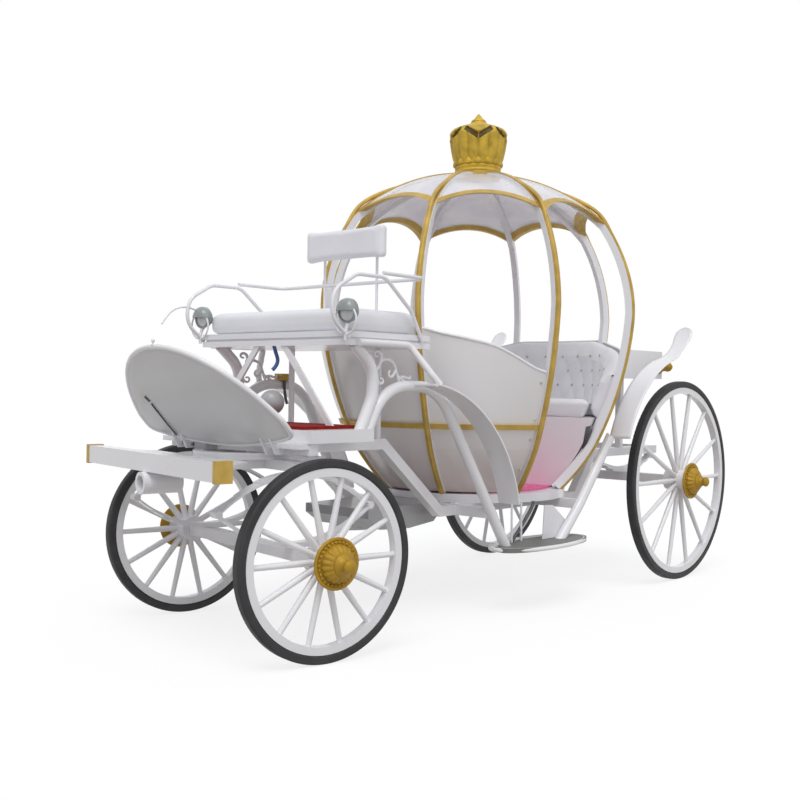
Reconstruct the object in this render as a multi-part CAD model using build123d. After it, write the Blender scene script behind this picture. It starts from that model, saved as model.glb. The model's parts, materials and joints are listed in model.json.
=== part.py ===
"""Pumpkin carriage: a wedding carriage with a ribbed pumpkin cabin, a box seat for the
driver, a fore-carriage that steers on a turntable, and four spoked wheels.

Frame: millimetres, +Z up. The carriage faces -Y and its left side is +X. The origin is on
the ground, in the middle of the whole length and width. The fore-carriage is modelled
straight and then turned to the angle at which the carriage is parked.
"""
import math
import os

from build123d import *

# Fits
SEAT_GAP = 0.3
JOURNAL_GAP = 0.05

# Wheels
REAR_WHEEL_R = 600.0
FRONT_WHEEL_R = 420.0
TYRE_DEPTH = 38.0
TYRE_WIDTH = 50.0
RIM_DEPTH = 34.0
RIM_WIDTH = 41.0
SPOKE_COUNT = 14
SPOKE_R = 11.5
SPOKE_ROOT_R = 15.5
NAVE_R = 62.0
NAVE_LENGTH = 150.0
HUB_BORE_R = 26.0
CAP_FLANGE_R = 108.0
CAP_LENGTH = 118.0

# Running gear
WHEELBASE = 2815.0
FRONT_OUTER_HALF_TRACK = 642.0
REAR_OUTER_HALF_TRACK = 717.0
AXLE_HALF = 27.0
PARKED_STEER = -10.6

# Turntable between the fore-carriage and the frame
TURNTABLE_R = 260.0
TURNTABLE_BAND = 46.0
TURNTABLE_PLATE = 14.0
TURNTABLE_SEAM_Z = 828.0
KINGPIN_R = 20.0

# Fore-carriage bed, splinter bar and pole socket
BED_HEIGHT = 42.0
BED_BAR_X = 170.0
BED_BAR_WIDTH = 44.0
BED_TAIL = 280.0
BOLSTER_DEPTH = 80.0
BAR_HALF_LENGTH = 612.0
BAR_FORWARD = 481.0
BAR_Z = 801.0
BAR_HEIGHT = 80.0
BAR_DEPTH = 68.0
BAR_CAP = 22.0
BAR_CAP_LIP = 4.0
TRACE_BORE_R = 8.0
TRACE_BORE_X = 450.0
POLE_BORE_R = 32.0
POLE_SOCKET_R = 48.0
POLE_SOCKET_LENGTH = 180.0
DECK_THICK = 8.0
DECK_REAR_HALF = 430.0

# Leaf springs
LEAF = 8.0
SPRING_WIDTH = 50.0
SPRING_EYE_R = 16.0
FRONT_SPRING_X = 390.0
FRONT_SPRING_HALF = 380.0
FRONT_LEAVES = 3
REAR_SPRING_HALF = 340.0
REAR_LEAVES = 4
REAR_SPRING_RISE = 60.0

# Frame
RAIL_X = 300.0
RAIL_SIZE = 50.0
SIDE_TUBE_R = 27.0
SIDE_SPLAY = 106.0
REAR_TUBE_X = 590.0
ARCH_TOP_Z = 1141.0
ARCH_BEND = 240.0
REAR_TUBE_BEND = 300.0

# Tray under the floor
TRAY_AHEAD = 557.0
TRAY_TOP_Z = 552.0
TRAY_LOW_Z = 431.0
TRAY_HALF_WIDTH = 218.0

# Step boards
STEP_Z = 331.0
STEP_THICK = 22.0
STEP_X = 590.0
STEP_HALF_LENGTH = 375.0
STEP_HALF_WIDTH = 120.0

# Pumpkin cabin: an oval plan whose width and length shrink together with height
BODY_HALF_WIDTH = 862.0
BODY_HALF_LENGTH = 964.0
FLOOR_Z = 585.0
ROOF_Z = 2345.0
OUTLINE = (  # share of the half width, height
    (0.100, ROOF_Z),
    (0.520, 2240.0),
    (0.820, 2050.0),
    (0.955, 1800.0),
    (1.000, 1560.0),
    (0.940, 1220.0),
    (0.775, 825.0),
    (0.680, 700.0),
    (0.565, FLOOR_Z),
)
RIB_COUNT = 8
RIB_WIDTH = 34.0
RIB_DEPTH = 38.0
GOLD_WIDTH = 28.0
GOLD_DEPTH = 7.0
FLOOR_THICK = 24.0
FLOOR_RING_HEIGHT = 46.0
FLOOR_RING_OUT = 14.0
FLOOR_RING_WIDTH = 40.0
CARPET_THICK = 8.0
TOP_PLATE_R = 140.0
TOP_PLATE_THICK = 40.0
WALL = 6.0
ROOF_WALL = 4.0
PANEL_INSET = 12.0
WAIST_Z = 930.0
WAIST_HEIGHT = 26.0
WAIST_PROUD = 3.0
SCALLOP_FOOT_Z = 2052.0
SCALLOP_RISE = 92.0
SCALLOP_BAND = 22.0
PANEL_HIGH_Z = 1440.0
PANEL_LOW_Z = 1215.0

# Seats in the cabin
BENCH_Z = 985.0
BENCH_INSET = 68.0
BACK_INSET = 46.0
BACK_THICK = 80.0
BENCH_CUSHION = 95.0
REAR_BENCH_AHEAD = 255.0
FRONT_BENCH_AHEAD = 310.0
CUSHION_OVERHANG = 12.0

# Box seat
SEAT_HALF_WIDTH = 488.0
SEAT_DEPTH = 571.0
SEAT_BASE_Z = 1348.0
SEAT_RAIL = 26.0
SEAT_RAIL_GAP = 10.0
SEAT_SPACER_INSET = 12.0
DRIVER_CUSHION_HEIGHT = 84.0
DRIVER_CUSHION_FILLET = 26.0
CUSHION_FRONT_INSET = 15.0
CUSHION_REAR_INSET = 66.0
SEAT_LEG_R = 15.0
ARM_R = 9.0
ARM_TOP_Z = 1627.0
BACKREST_HALF_WIDTH = 272.0
BACKREST_LOW_Z = 1752.0
BACKREST_HIGH_Z = 1924.0
BACKREST_THICK = 58.0
BACKREST_FILLET = 20.0
BACKREST_POST_X = 180.0
POST_R = 7.0
LAMP_R = 40.0
LAMP_DEPTH = 50.0
LAMP_Z = 1470.0
LAMP_STEM = 14.0
SEAT_BRACE = 40.0
SEAT_BRACE_THICK = 12.0

# Platform and dash
PLATFORM_THICK = 56.0
PLATFORM_LENGTH = 387.0
MAT_THICK = 14.0
MAT_HALF_WIDTH = 418.0
DASH_HALF_WIDTH = 505.0
DASH_BASE_Z = 878.0
DASH_PITCH = 40.0
DASH_LENGTH = 640.0
DASH_STRAIGHT = 190.0
DASH_CORNER = 70.0
DASH_THICK = 22.0

# Mudguards
GUARD_THICK = 8.0
FRONT_GUARD_X = 576.0
FRONT_GUARD_WIDTH = 128.0
REAR_GUARD_X = 692.0
REAR_GUARD_WIDTH = 130.0
GUARD_RAIL_R = 16.0
GUARD_ROD_R = 7.0

# Boot behind the cabin
BOOT_HALF_WIDTH = 490.0
BOOT_HEIGHT = 170.0
BOOT_Z = 1215.0
BOOT_REAR = 1300.0
BOOT_GAP = 14.0
BOOT_POST = 36.0

# Crown
CROWN_R = 165.0
CROWN_BASE_R = 134.0
CROWN_HEIGHT = 345.0

# Places along the carriage: the middle of the whole length is at y = 0
steer = math.radians(abs(PARKED_STEER))
front_overhang = ((BAR_FORWARD + BAR_DEPTH / 2 + BAR_CAP_LIP) * math.cos(steer)
                  + (BAR_HALF_LENGTH + SEAT_GAP + BAR_CAP) * math.sin(steer))
CENTRE_SHIFT = (front_overhang - REAR_WHEEL_R) / 2
FRONT_AXLE_Y = CENTRE_SHIFT - WHEELBASE / 2
REAR_AXLE_Y = CENTRE_SHIFT + WHEELBASE / 2
BODY_Y = CENTRE_SHIFT + 250.0
STEP_Y = BODY_Y - 151.0
SEAT_FRONT_Y = FRONT_AXLE_Y + 102.0
SEAT_REAR_Y = SEAT_FRONT_Y + SEAT_DEPTH
DASH_BASE_Y = FRONT_AXLE_Y - 92.0
BACKREST_Y = SEAT_REAR_Y - 78.0

# Heights that follow from what lies below
UPPER_RING_TOP = TURNTABLE_SEAM_Z + SEAT_GAP + TURNTABLE_PLATE
NECK_Z = UPPER_RING_TOP + SEAT_GAP + RAIL_SIZE / 2
FLOOR_TOP = FLOOR_Z - SEAT_GAP
FRAME_Z = FLOOR_TOP - FLOOR_RING_HEIGHT - SEAT_GAP - RAIL_SIZE / 2
BED_TOP = TURNTABLE_SEAM_Z - TURNTABLE_PLATE
REAR_SPRING_Z = REAR_WHEEL_R + AXLE_HALF + SEAT_GAP + REAR_LEAVES * LEAF - LEAF / 2
REAR_RAIL_Z = REAR_SPRING_Z + REAR_SPRING_RISE + SPRING_EYE_R + 2 * SEAT_GAP + RAIL_SIZE / 2
PLATFORM_LOW = NECK_Z + RAIL_SIZE / 2 + SEAT_GAP
PLATFORM_TOP = PLATFORM_LOW + PLATFORM_THICK
SEAT_LOW = SEAT_BASE_Z - SEAT_RAIL_GAP / 2 - SEAT_RAIL
SEAT_TOP = SEAT_BASE_Z + SEAT_RAIL_GAP / 2 + SEAT_RAIL
FRONT_TRACK_X = FRONT_OUTER_HALF_TRACK - TYRE_WIDTH / 2
REAR_TRACK_X = REAR_OUTER_HALF_TRACK - TYRE_WIDTH / 2
HUGE = 4000.0


def body_direction(parameter):
    """Plan direction and reach of the cabin at an angle parameter of its oval."""
    t = math.radians(parameter)
    x = BODY_HALF_WIDTH * math.cos(t)
    y = BODY_HALF_LENGTH * math.sin(t)
    return math.degrees(math.atan2(y, x)), math.hypot(x, y)


def shifted(points, grow):
    """Points of a curve moved sideways by a distance, along the curve's own normals."""
    moved = []
    for i, (x, z) in enumerate(points):
        before = points[max(i - 1, 0)]
        after = points[min(i + 1, len(points) - 1)]
        dx, dz = after[0] - before[0], after[1] - before[1]
        length = math.hypot(dx, dz)
        moved.append((x - dz / length * grow, z + dx / length * grow))
    return moved


def ribbon(points, one_side, other_side):
    """Flat strip that follows a chain of arcs, each through three of the points."""
    edges = []
    sides = [shifted(points, one_side), shifted(points, other_side)]
    for side in sides:
        for i in range(0, len(side) - 2, 2):
            edges.append(ThreePointArc(side[i], side[i + 1], side[i + 2]))
    for i in (0, -1):
        edges.append(Line(sides[0][i], sides[1][i]))
    return make_face(edges)


def strip_face(reach, outer, inner, first, last):
    """Strip along the cabin's outline between two offsets, from station to station."""
    points = [(share * reach, z) for share, z in OUTLINE[first:last + 1]]
    return ribbon(points, outer, inner)


def share_at(height):
    """Share of the half width at a height, on the parabola through three stations."""
    for i in range(0, len(OUTLINE) - 2, 2):
        (sa, za), (sb, zb), (sc, zc) = OUTLINE[i:i + 3]
        if zc <= height <= za:
            u = (height - za) / (zc - za)
            middle = (zb - za) / (zc - za)
            bow = sb - sa - (sc - sa) * middle
            return sa + (sc - sa) * u + bow * u * (1 - u) / (middle * (1 - middle))
    return OUTLINE[-1][0]


def rib_parameters():
    step = 360.0 / RIB_COUNT
    return [step * (i + 0.5) for i in range(RIB_COUNT)]


def at_body(parameter, shape):
    """Turn a shape from the XZ plane to a direction of the cabin, about its axis."""
    direction, _ = body_direction(parameter)
    return Pos(0, BODY_Y, 0) * Rot(0, 0, direction) * shape


def gore(first, make_section):
    """Skin between two ribs, lofted through the rib planes and the plane half way."""
    sections = []
    for i in range(3):
        direction, reach = body_direction(first + i * 180.0 / RIB_COUNT)
        plane = Plane(origin=(0, BODY_Y, 0), x_dir=Vector(1, 0, 0).rotate(Axis.Z, direction),
                      z_dir=Vector(0, -1, 0).rotate(Axis.Z, direction))
        sections.append(plane * make_section(reach))
    return loft(sections)


def slab(low, high):
    """Level slab between two heights."""
    return Pos(0, 0, (low + high) / 2) * Box(2 * HUGE, 2 * HUGE, high - low)


def without_ribs(shape):
    """Take the ribs' slots out of a skin."""
    for parameter in rib_parameters()[: RIB_COUNT // 2]:
        slot = Pos(0, 0, HUGE / 2) * Box(HUGE, RIB_WIDTH + 2 * SEAT_GAP, HUGE)
        shape -= at_body(parameter, slot)
    return shape


def rib_set(outer, inner, width):
    """One bar along the cabin's outline at each rib, between the floor and the top plate."""
    made = []
    for parameter in rib_parameters():
        _, reach = body_direction(parameter)
        section = strip_face(reach, outer, inner, 0, len(OUTLINE) - 1)
        bar = extrude(Plane.XZ * section, amount=width / 2, both=True) & slab(FLOOR_Z, HUGE)
        bar -= Pos(0, 0, ROOF_Z) * Cylinder(TOP_PLATE_R + SEAT_GAP, 400)
        made.append(at_body(parameter, bar))
    return made


def solids_of(shape):
    return list(shape.solids())


def group(*shapes):
    """Several solids in one node."""
    return Compound(children=[solid for shape in shapes for solid in solids_of(shape)])


def mirrored(shape):
    return mirror(shape, about=Plane.YZ)


def pair(shape):
    return group(shape, mirrored(shape))


def tube(points, radius, bend):
    """Round bar through points, with rounded bends."""
    path = FilletPolyline(*points, radius=bend) if len(points) > 2 else Line(*points)
    return sweep(Plane(origin=path @ 0, z_dir=path % 0) * Circle(radius), path)


def blade(points, x_centre, width, over=GUARD_THICK / 2, under=-GUARD_THICK / 2):
    """Curved plate, level from side to side, from its side view."""
    strip = Plane.YZ * ribbon(points, over, under)
    return Pos(x_centre, 0, 0) * extrude(strip, amount=width / 2, both=True)


def steered(shape):
    """Turn a piece of the straight fore-carriage to its parked angle about the kingpin."""
    return Pos(0, FRONT_AXLE_Y, 0) * Rot(0, 0, PARKED_STEER) * Pos(0, -FRONT_AXLE_Y, 0) * shape


def oval(inset, low, high):
    """Level oval plate, inset from the foot of the cabin's outline."""
    share = OUTLINE[-1][0]
    plate = Ellipse(BODY_HALF_WIDTH * share - inset, BODY_HALF_LENGTH * share - inset)
    return Pos(0, BODY_Y, low) * extrude(plate, amount=high - low)


def cabin_core(inset, low, high):
    """Inside of the cabin between two heights, inset from its outline."""
    rings = []
    for z in (low, (low + high) / 2, high):
        share = share_at(z)
        rings.append(Pos(0, BODY_Y, z) * Ellipse(BODY_HALF_WIDTH * share - inset,
                                                 BODY_HALF_LENGTH * share - inset))
    return loft(rings)


parts = {}

# Ribs, top plate and the skins between the ribs
parts["cabin_ribs"] = group(*rib_set(0, -RIB_DEPTH, RIB_WIDTH))
parts["rib_trim"] = group(*rib_set(GOLD_DEPTH, SEAT_GAP, GOLD_WIDTH))
parts["top_plate"] = Pos(0, BODY_Y, ROOF_Z - TOP_PLATE_THICK / 2 + 8) * Cylinder(
    TOP_PLATE_R, TOP_PLATE_THICK)

scallop_half_span = OUTLINE[2][0] * BODY_HALF_LENGTH * math.sin(math.pi / RIB_COUNT)
scallop_r = (scallop_half_span ** 2 + SCALLOP_RISE ** 2) / (2 * SCALLOP_RISE)


def scallop_cylinder(parameter, grow):
    """Level cylinder whose top is the arch over the window between two ribs."""
    centre_z = SCALLOP_FOOT_Z + SCALLOP_RISE - scallop_r
    cylinder = Pos(HUGE / 4, 0, centre_z) * Rot(0, 90, 0) * Cylinder(scallop_r + grow, HUGE / 2)
    return at_body(parameter, cylinder)


def roof_section(reach):
    return strip_face(reach, -PANEL_INSET, -PANEL_INSET - ROOF_WALL, 0, 2)


def hoop_section(reach):
    return strip_face(reach, 2.0, -SCALLOP_BAND, 0, 4)


def wall_section(reach):
    return strip_face(reach, -PANEL_INSET - 1, -PANEL_INSET - 1 - WALL, 4, 8)


def waist_section(reach):
    low = reach * share_at(WAIST_Z)
    high = reach * share_at(WAIST_Z + WAIST_HEIGHT)
    top = WAIST_Z + WAIST_HEIGHT
    inside = -PANEL_INSET + SEAT_GAP
    return make_face(Polyline((low + WAIST_PROUD, WAIST_Z), (high + WAIST_PROUD, top),
                              (high + inside, top), (low + inside, WAIST_Z), close=True))


low_reach = BODY_HALF_LENGTH * math.sin(math.pi / RIB_COUNT)
high_reach = BODY_HALF_LENGTH * math.sin(3 * math.pi / RIB_COUNT)
top_edge = (  # distance from the cabin's middle, height: the swept top of the side panels
    (low_reach - 40, PANEL_LOW_Z),
    (low_reach + 60, PANEL_LOW_Z + 22),
    ((low_reach + high_reach) / 2, (PANEL_LOW_Z + PANEL_HIGH_Z) / 2 + 20),
    (high_reach - 70, PANEL_HIGH_Z - 35),
    (high_reach, PANEL_HIGH_Z),
    (high_reach + 300, PANEL_HIGH_Z),
)
above_panels = extrude(Plane.YZ * make_face(Polyline(
    *[(BODY_Y - y, z) for y, z in reversed(top_edge)],
    *[(BODY_Y + y, z) for y, z in top_edge],
    (BODY_Y + 1400, 2000), (BODY_Y - 1400, 2000), close=True)), amount=HUGE / 2, both=True)

roof, hoops, panels, waist = [], [], [], []
for bay in range(RIB_COUNT):
    first = (bay - 0.5) * 360.0 / RIB_COUNT
    middle = bay * 360.0 / RIB_COUNT
    sheet = gore(first, roof_section) - scallop_cylinder(middle, SCALLOP_BAND / 2 + SEAT_GAP)
    sheet -= Pos(0, BODY_Y, ROOF_Z) * Cylinder(TOP_PLATE_R + SEAT_GAP, 400)
    roof.append(without_ribs(sheet))
    hoop = gore(first, hoop_section) & scallop_cylinder(middle, SCALLOP_BAND / 2)
    hoop = hoop - scallop_cylinder(middle, -SCALLOP_BAND / 2) & slab(SCALLOP_FOOT_Z - 40, ROOF_Z)
    hoops.append(without_ribs(hoop))
    if bay in (0, RIB_COUNT // 2):
        continue
    waist.append(without_ribs(gore(first, waist_section)))
    panel = without_ribs(gore(first, wall_section)) & slab(FLOOR_Z, HUGE)
    panels.append(panel - above_panels)
parts["roof_panels"] = group(*roof)
parts["roof_hoops"] = group(*hoops)
parts["waist_band"] = group(*waist)
parts["body_panels"] = group(*panels)

# Floor
ring_low = FLOOR_TOP - FLOOR_RING_HEIGHT
parts["floor_pan"] = oval(-FLOOR_RING_OUT, ring_low, FLOOR_TOP) - oval(
    FLOOR_RING_WIDTH - FLOOR_RING_OUT, ring_low - 1, FLOOR_TOP - FLOOR_THICK)
parts["carpet"] = oval(BENCH_INSET, FLOOR_Z, FLOOR_Z + CARPET_THICK)

# Seats in the cabin
carpet_top = FLOOR_Z + CARPET_THICK + SEAT_GAP


def behind(y):
    return Pos(0, y + HUGE / 2, HUGE / 2) * Box(HUGE, HUGE, HUGE)


def ahead(y):
    return Pos(0, y - HUGE / 2, HUGE / 2) * Box(HUGE, HUGE, HUGE)


rear_front = BODY_Y + REAR_BENCH_AHEAD
front_front = BODY_Y - FRONT_BENCH_AHEAD
bench_solid = cabin_core(BENCH_INSET, carpet_top, BENCH_Z)
parts["rear_bench"] = bench_solid & behind(rear_front)
parts["front_bench"] = bench_solid & ahead(front_front)
back_low = BENCH_Z + SEAT_GAP
seat_cushion = cabin_core(BACK_INSET + BACK_THICK + SEAT_GAP, back_low, BENCH_Z + BENCH_CUSHION)
parts["rear_cushion"] = seat_cushion & behind(rear_front - CUSHION_OVERHANG)
parts["front_cushion"] = seat_cushion & ahead(front_front + CUSHION_OVERHANG)
back_pad = cabin_core(BACK_INSET, back_low, PANEL_HIGH_Z)
back_pad -= cabin_core(BACK_INSET + BACK_THICK, back_low, PANEL_HIGH_Z)
back_pad -= above_panels
parts["rear_back"] = back_pad & behind(rear_front + 60)
parts["front_back"] = back_pad & ahead(front_front - 60)

# Crown
with BuildPart() as crown:
    with BuildSketch(Plane.XZ):
        with BuildLine():
            Polyline((0, 0), (CROWN_BASE_R, 0), (CROWN_BASE_R, 30), (CROWN_BASE_R - 4, 46),
                     (CROWN_R - 14, 130), (CROWN_R, 205), (CROWN_R - 12, 255), (CROWN_R * 0.65, 278),
                     (62, 288), (36, 308), (12, 336), (0, CROWN_HEIGHT), close=True)
        make_face()
    revolve(axis=Axis.Z)
parts["crown"] = Pos(0, BODY_Y, ROOF_Z + 8 + SEAT_GAP) * crown.part


# Frame: two rails with a raised neck over the turntable and a rise over the rear axle
def side_x(y):
    """The side tubes stand on the platform's edge in front and splay towards the step."""
    t = min(max((y - SEAT_REAR_Y) / 700.0, 0.0), 1.0)
    return SEAT_HALF_WIDTH - SIDE_TUBE_R + SIDE_SPLAY * t


RAIL_FRONT_Y = DASH_BASE_Y + DASH_THICK / 2 * math.sin(math.radians(DASH_PITCH)) + SEAT_GAP
rail_line = Polyline(
    (RAIL_X, RAIL_FRONT_Y, NECK_Z),
    (RAIL_X, SEAT_REAR_Y - 130, NECK_Z),
    (RAIL_X, BODY_Y - 680, FRAME_Z),
    (RAIL_X, BODY_Y + 580, FRAME_Z),
    (RAIL_X, REAR_AXLE_Y - REAR_SPRING_HALF - 45, REAR_RAIL_Z),
    (RAIL_X, REAR_AXLE_Y + REAR_SPRING_HALF + 60, REAR_RAIL_Z),
)
rail = sweep(Plane(origin=rail_line @ 0, z_dir=rail_line % 0) * Rectangle(RAIL_SIZE, RAIL_SIZE),
             rail_line, transition=Transition.RIGHT)
CROSS_FRONT_Y = BODY_Y - 538.0
CROSS_REAR_Y = BODY_Y + 195.0
FRONT_GUARD = tuple((CENTRE_SHIFT + y, z) for y, z in ((-830, 1150), (-430, 960), (-195, 560)))
REAR_GUARD = tuple((CENTRE_SHIFT + y, z) for y, z in (
    (690, 872), (880, 1150), (1180, 1318), (1350, 1395), (1460, 1530)))
front_arch = [(side_x(y), y, z) for y, z in (
    (SEAT_FRONT_Y + 170, PLATFORM_TOP - 24),
    (SEAT_FRONT_Y + 285, ARCH_TOP_Z),
    (SEAT_FRONT_Y + 650, ARCH_TOP_Z),
    (BODY_Y - 408, STEP_Z - 30),
)]
guard_foot_y, guard_foot_z = REAR_GUARD[0]
rear_line = [
    (REAR_TUBE_X - 6, BODY_Y - 20, STEP_Z - 30),
    (REAR_TUBE_X, CROSS_REAR_Y, FRAME_Z),
    (REAR_GUARD_X - 62, guard_foot_y + 6, guard_foot_z + 12),
]
cross_members = (  # place along the carriage, half length, height
    (RAIL_FRONT_Y + RAIL_SIZE / 2, DASH_HALF_WIDTH - 30, NECK_Z),
    (FRONT_AXLE_Y, RAIL_X, NECK_Z),
    (FRONT_AXLE_Y + TURNTABLE_R - TURNTABLE_BAND / 2, RAIL_X, NECK_Z),
    (CROSS_FRONT_Y, side_x(CROSS_FRONT_Y) - 8, FRAME_Z),
    (CROSS_REAR_Y, REAR_TUBE_X - 8, FRAME_Z),
    (REAR_AXLE_Y - REAR_SPRING_HALF + 80, RAIL_X, REAR_RAIL_Z),
    (REAR_AXLE_Y + REAR_SPRING_HALF + 35, RAIL_X, REAR_RAIL_Z),
)
frame = rail + mirrored(rail)
for y, half, z in cross_members:
    frame += Pos(0, y, z) * Box(2 * half, RAIL_SIZE, RAIL_SIZE)
frame -= Pos(0, FRONT_AXLE_Y, NECK_Z) * Cylinder(KINGPIN_R + JOURNAL_GAP, 2 * RAIL_SIZE)
for line, bend in ((front_arch, ARCH_BEND), (rear_line, REAR_TUBE_BEND)):
    socket = tube(line, SIDE_TUBE_R + SEAT_GAP, bend) & slab(0, FLOOR_Z)
    frame -= socket
    frame -= mirrored(socket)
parts["main_frame"] = frame

# Tray under the floor, hung from the front cross member
tray_rear = CROSS_FRONT_Y - RAIL_SIZE / 2 - SEAT_GAP
tray_front = FRONT_AXLE_Y + TRAY_AHEAD
tray_side = Plane.YZ * make_face(Polyline(
    (tray_front, TRAY_TOP_Z - 8), (tray_front, TRAY_TOP_Z - 52), (tray_front + 90, TRAY_LOW_Z + 10),
    (tray_rear - 240, TRAY_LOW_Z), (tray_rear - 45, TRAY_LOW_Z + 20), (tray_rear, TRAY_TOP_Z - 60),
    (tray_rear, TRAY_TOP_Z), close=True))
parts["brake_box"] = extrude(tray_side, amount=TRAY_HALF_WIDTH, both=True)

# Side tubes and step boards
step_top = STEP_Z + STEP_THICK / 2 + SEAT_GAP
front_leg = [(side_x(y), y, z) for y, z in (
    (SEAT_FRONT_Y + 86, SEAT_LOW + 10),
    (SEAT_FRONT_Y + 213, 1222),
    (SEAT_FRONT_Y + 206, 1090),
    (SEAT_FRONT_Y + 122, PLATFORM_TOP - 24),
)]
arch = tube(front_arch, SIDE_TUBE_R, ARCH_BEND)
arch &= slab(PLATFORM_TOP + SEAT_GAP, HUGE) + (slab(step_top, HUGE) & behind(SEAT_REAR_Y))
arch += tube(front_leg, SIDE_TUBE_R, 140) & slab(PLATFORM_TOP + SEAT_GAP, SEAT_LOW - SEAT_GAP)
parts["front_arch_tubes"] = pair(arch)
rear_tube = tube(rear_line, SIDE_TUBE_R, REAR_TUBE_BEND) & slab(step_top, HUGE)
rear_tube -= blade(REAR_GUARD, REAR_GUARD_X, REAR_GUARD_WIDTH, 60, -GUARD_THICK / 2 - SEAT_GAP)
parts["rear_arch_tubes"] = pair(max(solids_of(rear_tube), key=lambda s: s.volume))
step_plate = Pos(STEP_X, STEP_Y, STEP_Z - STEP_THICK / 2) * extrude(
    Ellipse(STEP_HALF_WIDTH, STEP_HALF_LENGTH), amount=STEP_THICK)
parts["step_boards"] = pair(step_plate)

# Mudguards, and the rails that carry the front pair from the seat
parts["front_mudguards"] = pair(blade(FRONT_GUARD, FRONT_GUARD_X, FRONT_GUARD_WIDTH))
parts["rear_mudguards"] = pair(blade(REAR_GUARD, REAR_GUARD_X, REAR_GUARD_WIDTH))
rail_out = SEAT_HALF_WIDTH + GUARD_RAIL_R + SEAT_GAP
guard_edge_x = FRONT_GUARD_X + FRONT_GUARD_WIDTH / 2 - GUARD_RAIL_R
guard_top_y, guard_top_z = FRONT_GUARD[0]
rail_z = SEAT_LOW + SEAT_RAIL / 2
guard_line = ((rail_out, SEAT_FRONT_Y + 70, rail_z),
              (rail_out, SEAT_REAR_Y - 165, rail_z),
              (guard_edge_x - 25, guard_top_y - 18, guard_top_z + 45),
              (guard_edge_x, guard_top_y + 12, guard_top_z))
guard_rail = tube(guard_line, GUARD_RAIL_R, 42) - blade(
    FRONT_GUARD, FRONT_GUARD_X, FRONT_GUARD_WIDTH + 60, GUARD_THICK / 2 + SEAT_GAP, -60)
guard_rail = max(solids_of(guard_rail), key=lambda s: s.volume)
rod_start = SEAT_HALF_WIDTH
rod = Pos((rod_start + guard_edge_x) / 2, guard_top_y - GUARD_ROD_R - 3, guard_top_z - 2) * Rot(
    0, 90, 0) * Cylinder(GUARD_ROD_R, guard_edge_x - rod_start)
rod -= tube(front_arch, SIDE_TUBE_R + SEAT_GAP, ARCH_BEND)
parts["guard_rails"] = pair(guard_rail + rod)

# Platform, mat and dash
platform_front = RAIL_FRONT_Y - 6
platform_y = platform_front + PLATFORM_LENGTH / 2
parts["driver_platform"] = Pos(0, platform_y, PLATFORM_LOW + PLATFORM_THICK / 2) * Box(
    2 * SEAT_HALF_WIDTH, PLATFORM_LENGTH, PLATFORM_THICK)
parts["floor_mat"] = Pos(0, platform_y, PLATFORM_TOP + SEAT_GAP + MAT_THICK / 2) * Box(
    2 * MAT_HALF_WIDTH, PLATFORM_LENGTH - 40, MAT_THICK)

dash_plane = Plane(origin=(0, DASH_BASE_Y, DASH_BASE_Z), x_dir=(1, 0, 0),
                   z_dir=Vector(0, 0, 1).rotate(Axis.X, -DASH_PITCH))
half, corner, straight = DASH_HALF_WIDTH, DASH_CORNER, DASH_STRAIGHT
dash_face = make_face([
    Line((corner - half, 0), (half - corner, 0)),
    Line((half - corner, 0), (half, -corner)),
    Line((half, -corner), (half - 12, -straight)),
    ThreePointArc((half - 12, -straight), (0, -DASH_LENGTH), (12 - half, -straight)),
    Line((12 - half, -straight), (-half, -corner)),
    Line((-half, -corner), (corner - half, 0)),
])
dash = extrude(dash_plane * dash_face, amount=DASH_THICK / 2, both=True)
parts["dash"] = dash
parts["driver_platform"] -= Pos(0, 0, 0) * extrude(
    dash_plane * dash_face, amount=DASH_THICK / 2 + SEAT_GAP, both=True)

# Box seat
seat_y = (SEAT_FRONT_Y + SEAT_REAR_Y) / 2
seat_board = Box(2 * SEAT_HALF_WIDTH, SEAT_DEPTH, SEAT_RAIL)
spacer = Box(2 * (SEAT_HALF_WIDTH - SEAT_SPACER_INSET), SEAT_DEPTH - 2 * SEAT_SPACER_INSET,
             SEAT_RAIL_GAP + SEAT_RAIL)
parts["seat_base"] = (Pos(0, seat_y, SEAT_LOW + SEAT_RAIL / 2) * seat_board
                      + Pos(0, seat_y, SEAT_BASE_Z) * spacer
                      + Pos(0, seat_y, SEAT_TOP - SEAT_RAIL / 2) * seat_board)
cushion_front = SEAT_FRONT_Y + CUSHION_FRONT_INSET
cushion_rear = SEAT_REAR_Y - CUSHION_REAR_INSET
cushion_box = Pos(0, (cushion_front + cushion_rear) / 2,
                  SEAT_TOP + SEAT_GAP + DRIVER_CUSHION_HEIGHT / 2) * Box(
    2 * SEAT_HALF_WIDTH - 8, cushion_rear - cushion_front, DRIVER_CUSHION_HEIGHT)
parts["driver_cushion"] = fillet(cushion_box.edges(), DRIVER_CUSHION_FILLET)
pad_box = Pos(0, BACKREST_Y, (BACKREST_LOW_Z + BACKREST_HIGH_Z) / 2) * Box(
    2 * BACKREST_HALF_WIDTH, BACKREST_THICK, BACKREST_HIGH_Z - BACKREST_LOW_Z)
parts["driver_backrest"] = fillet(pad_box.edges(), BACKREST_FILLET)

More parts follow.
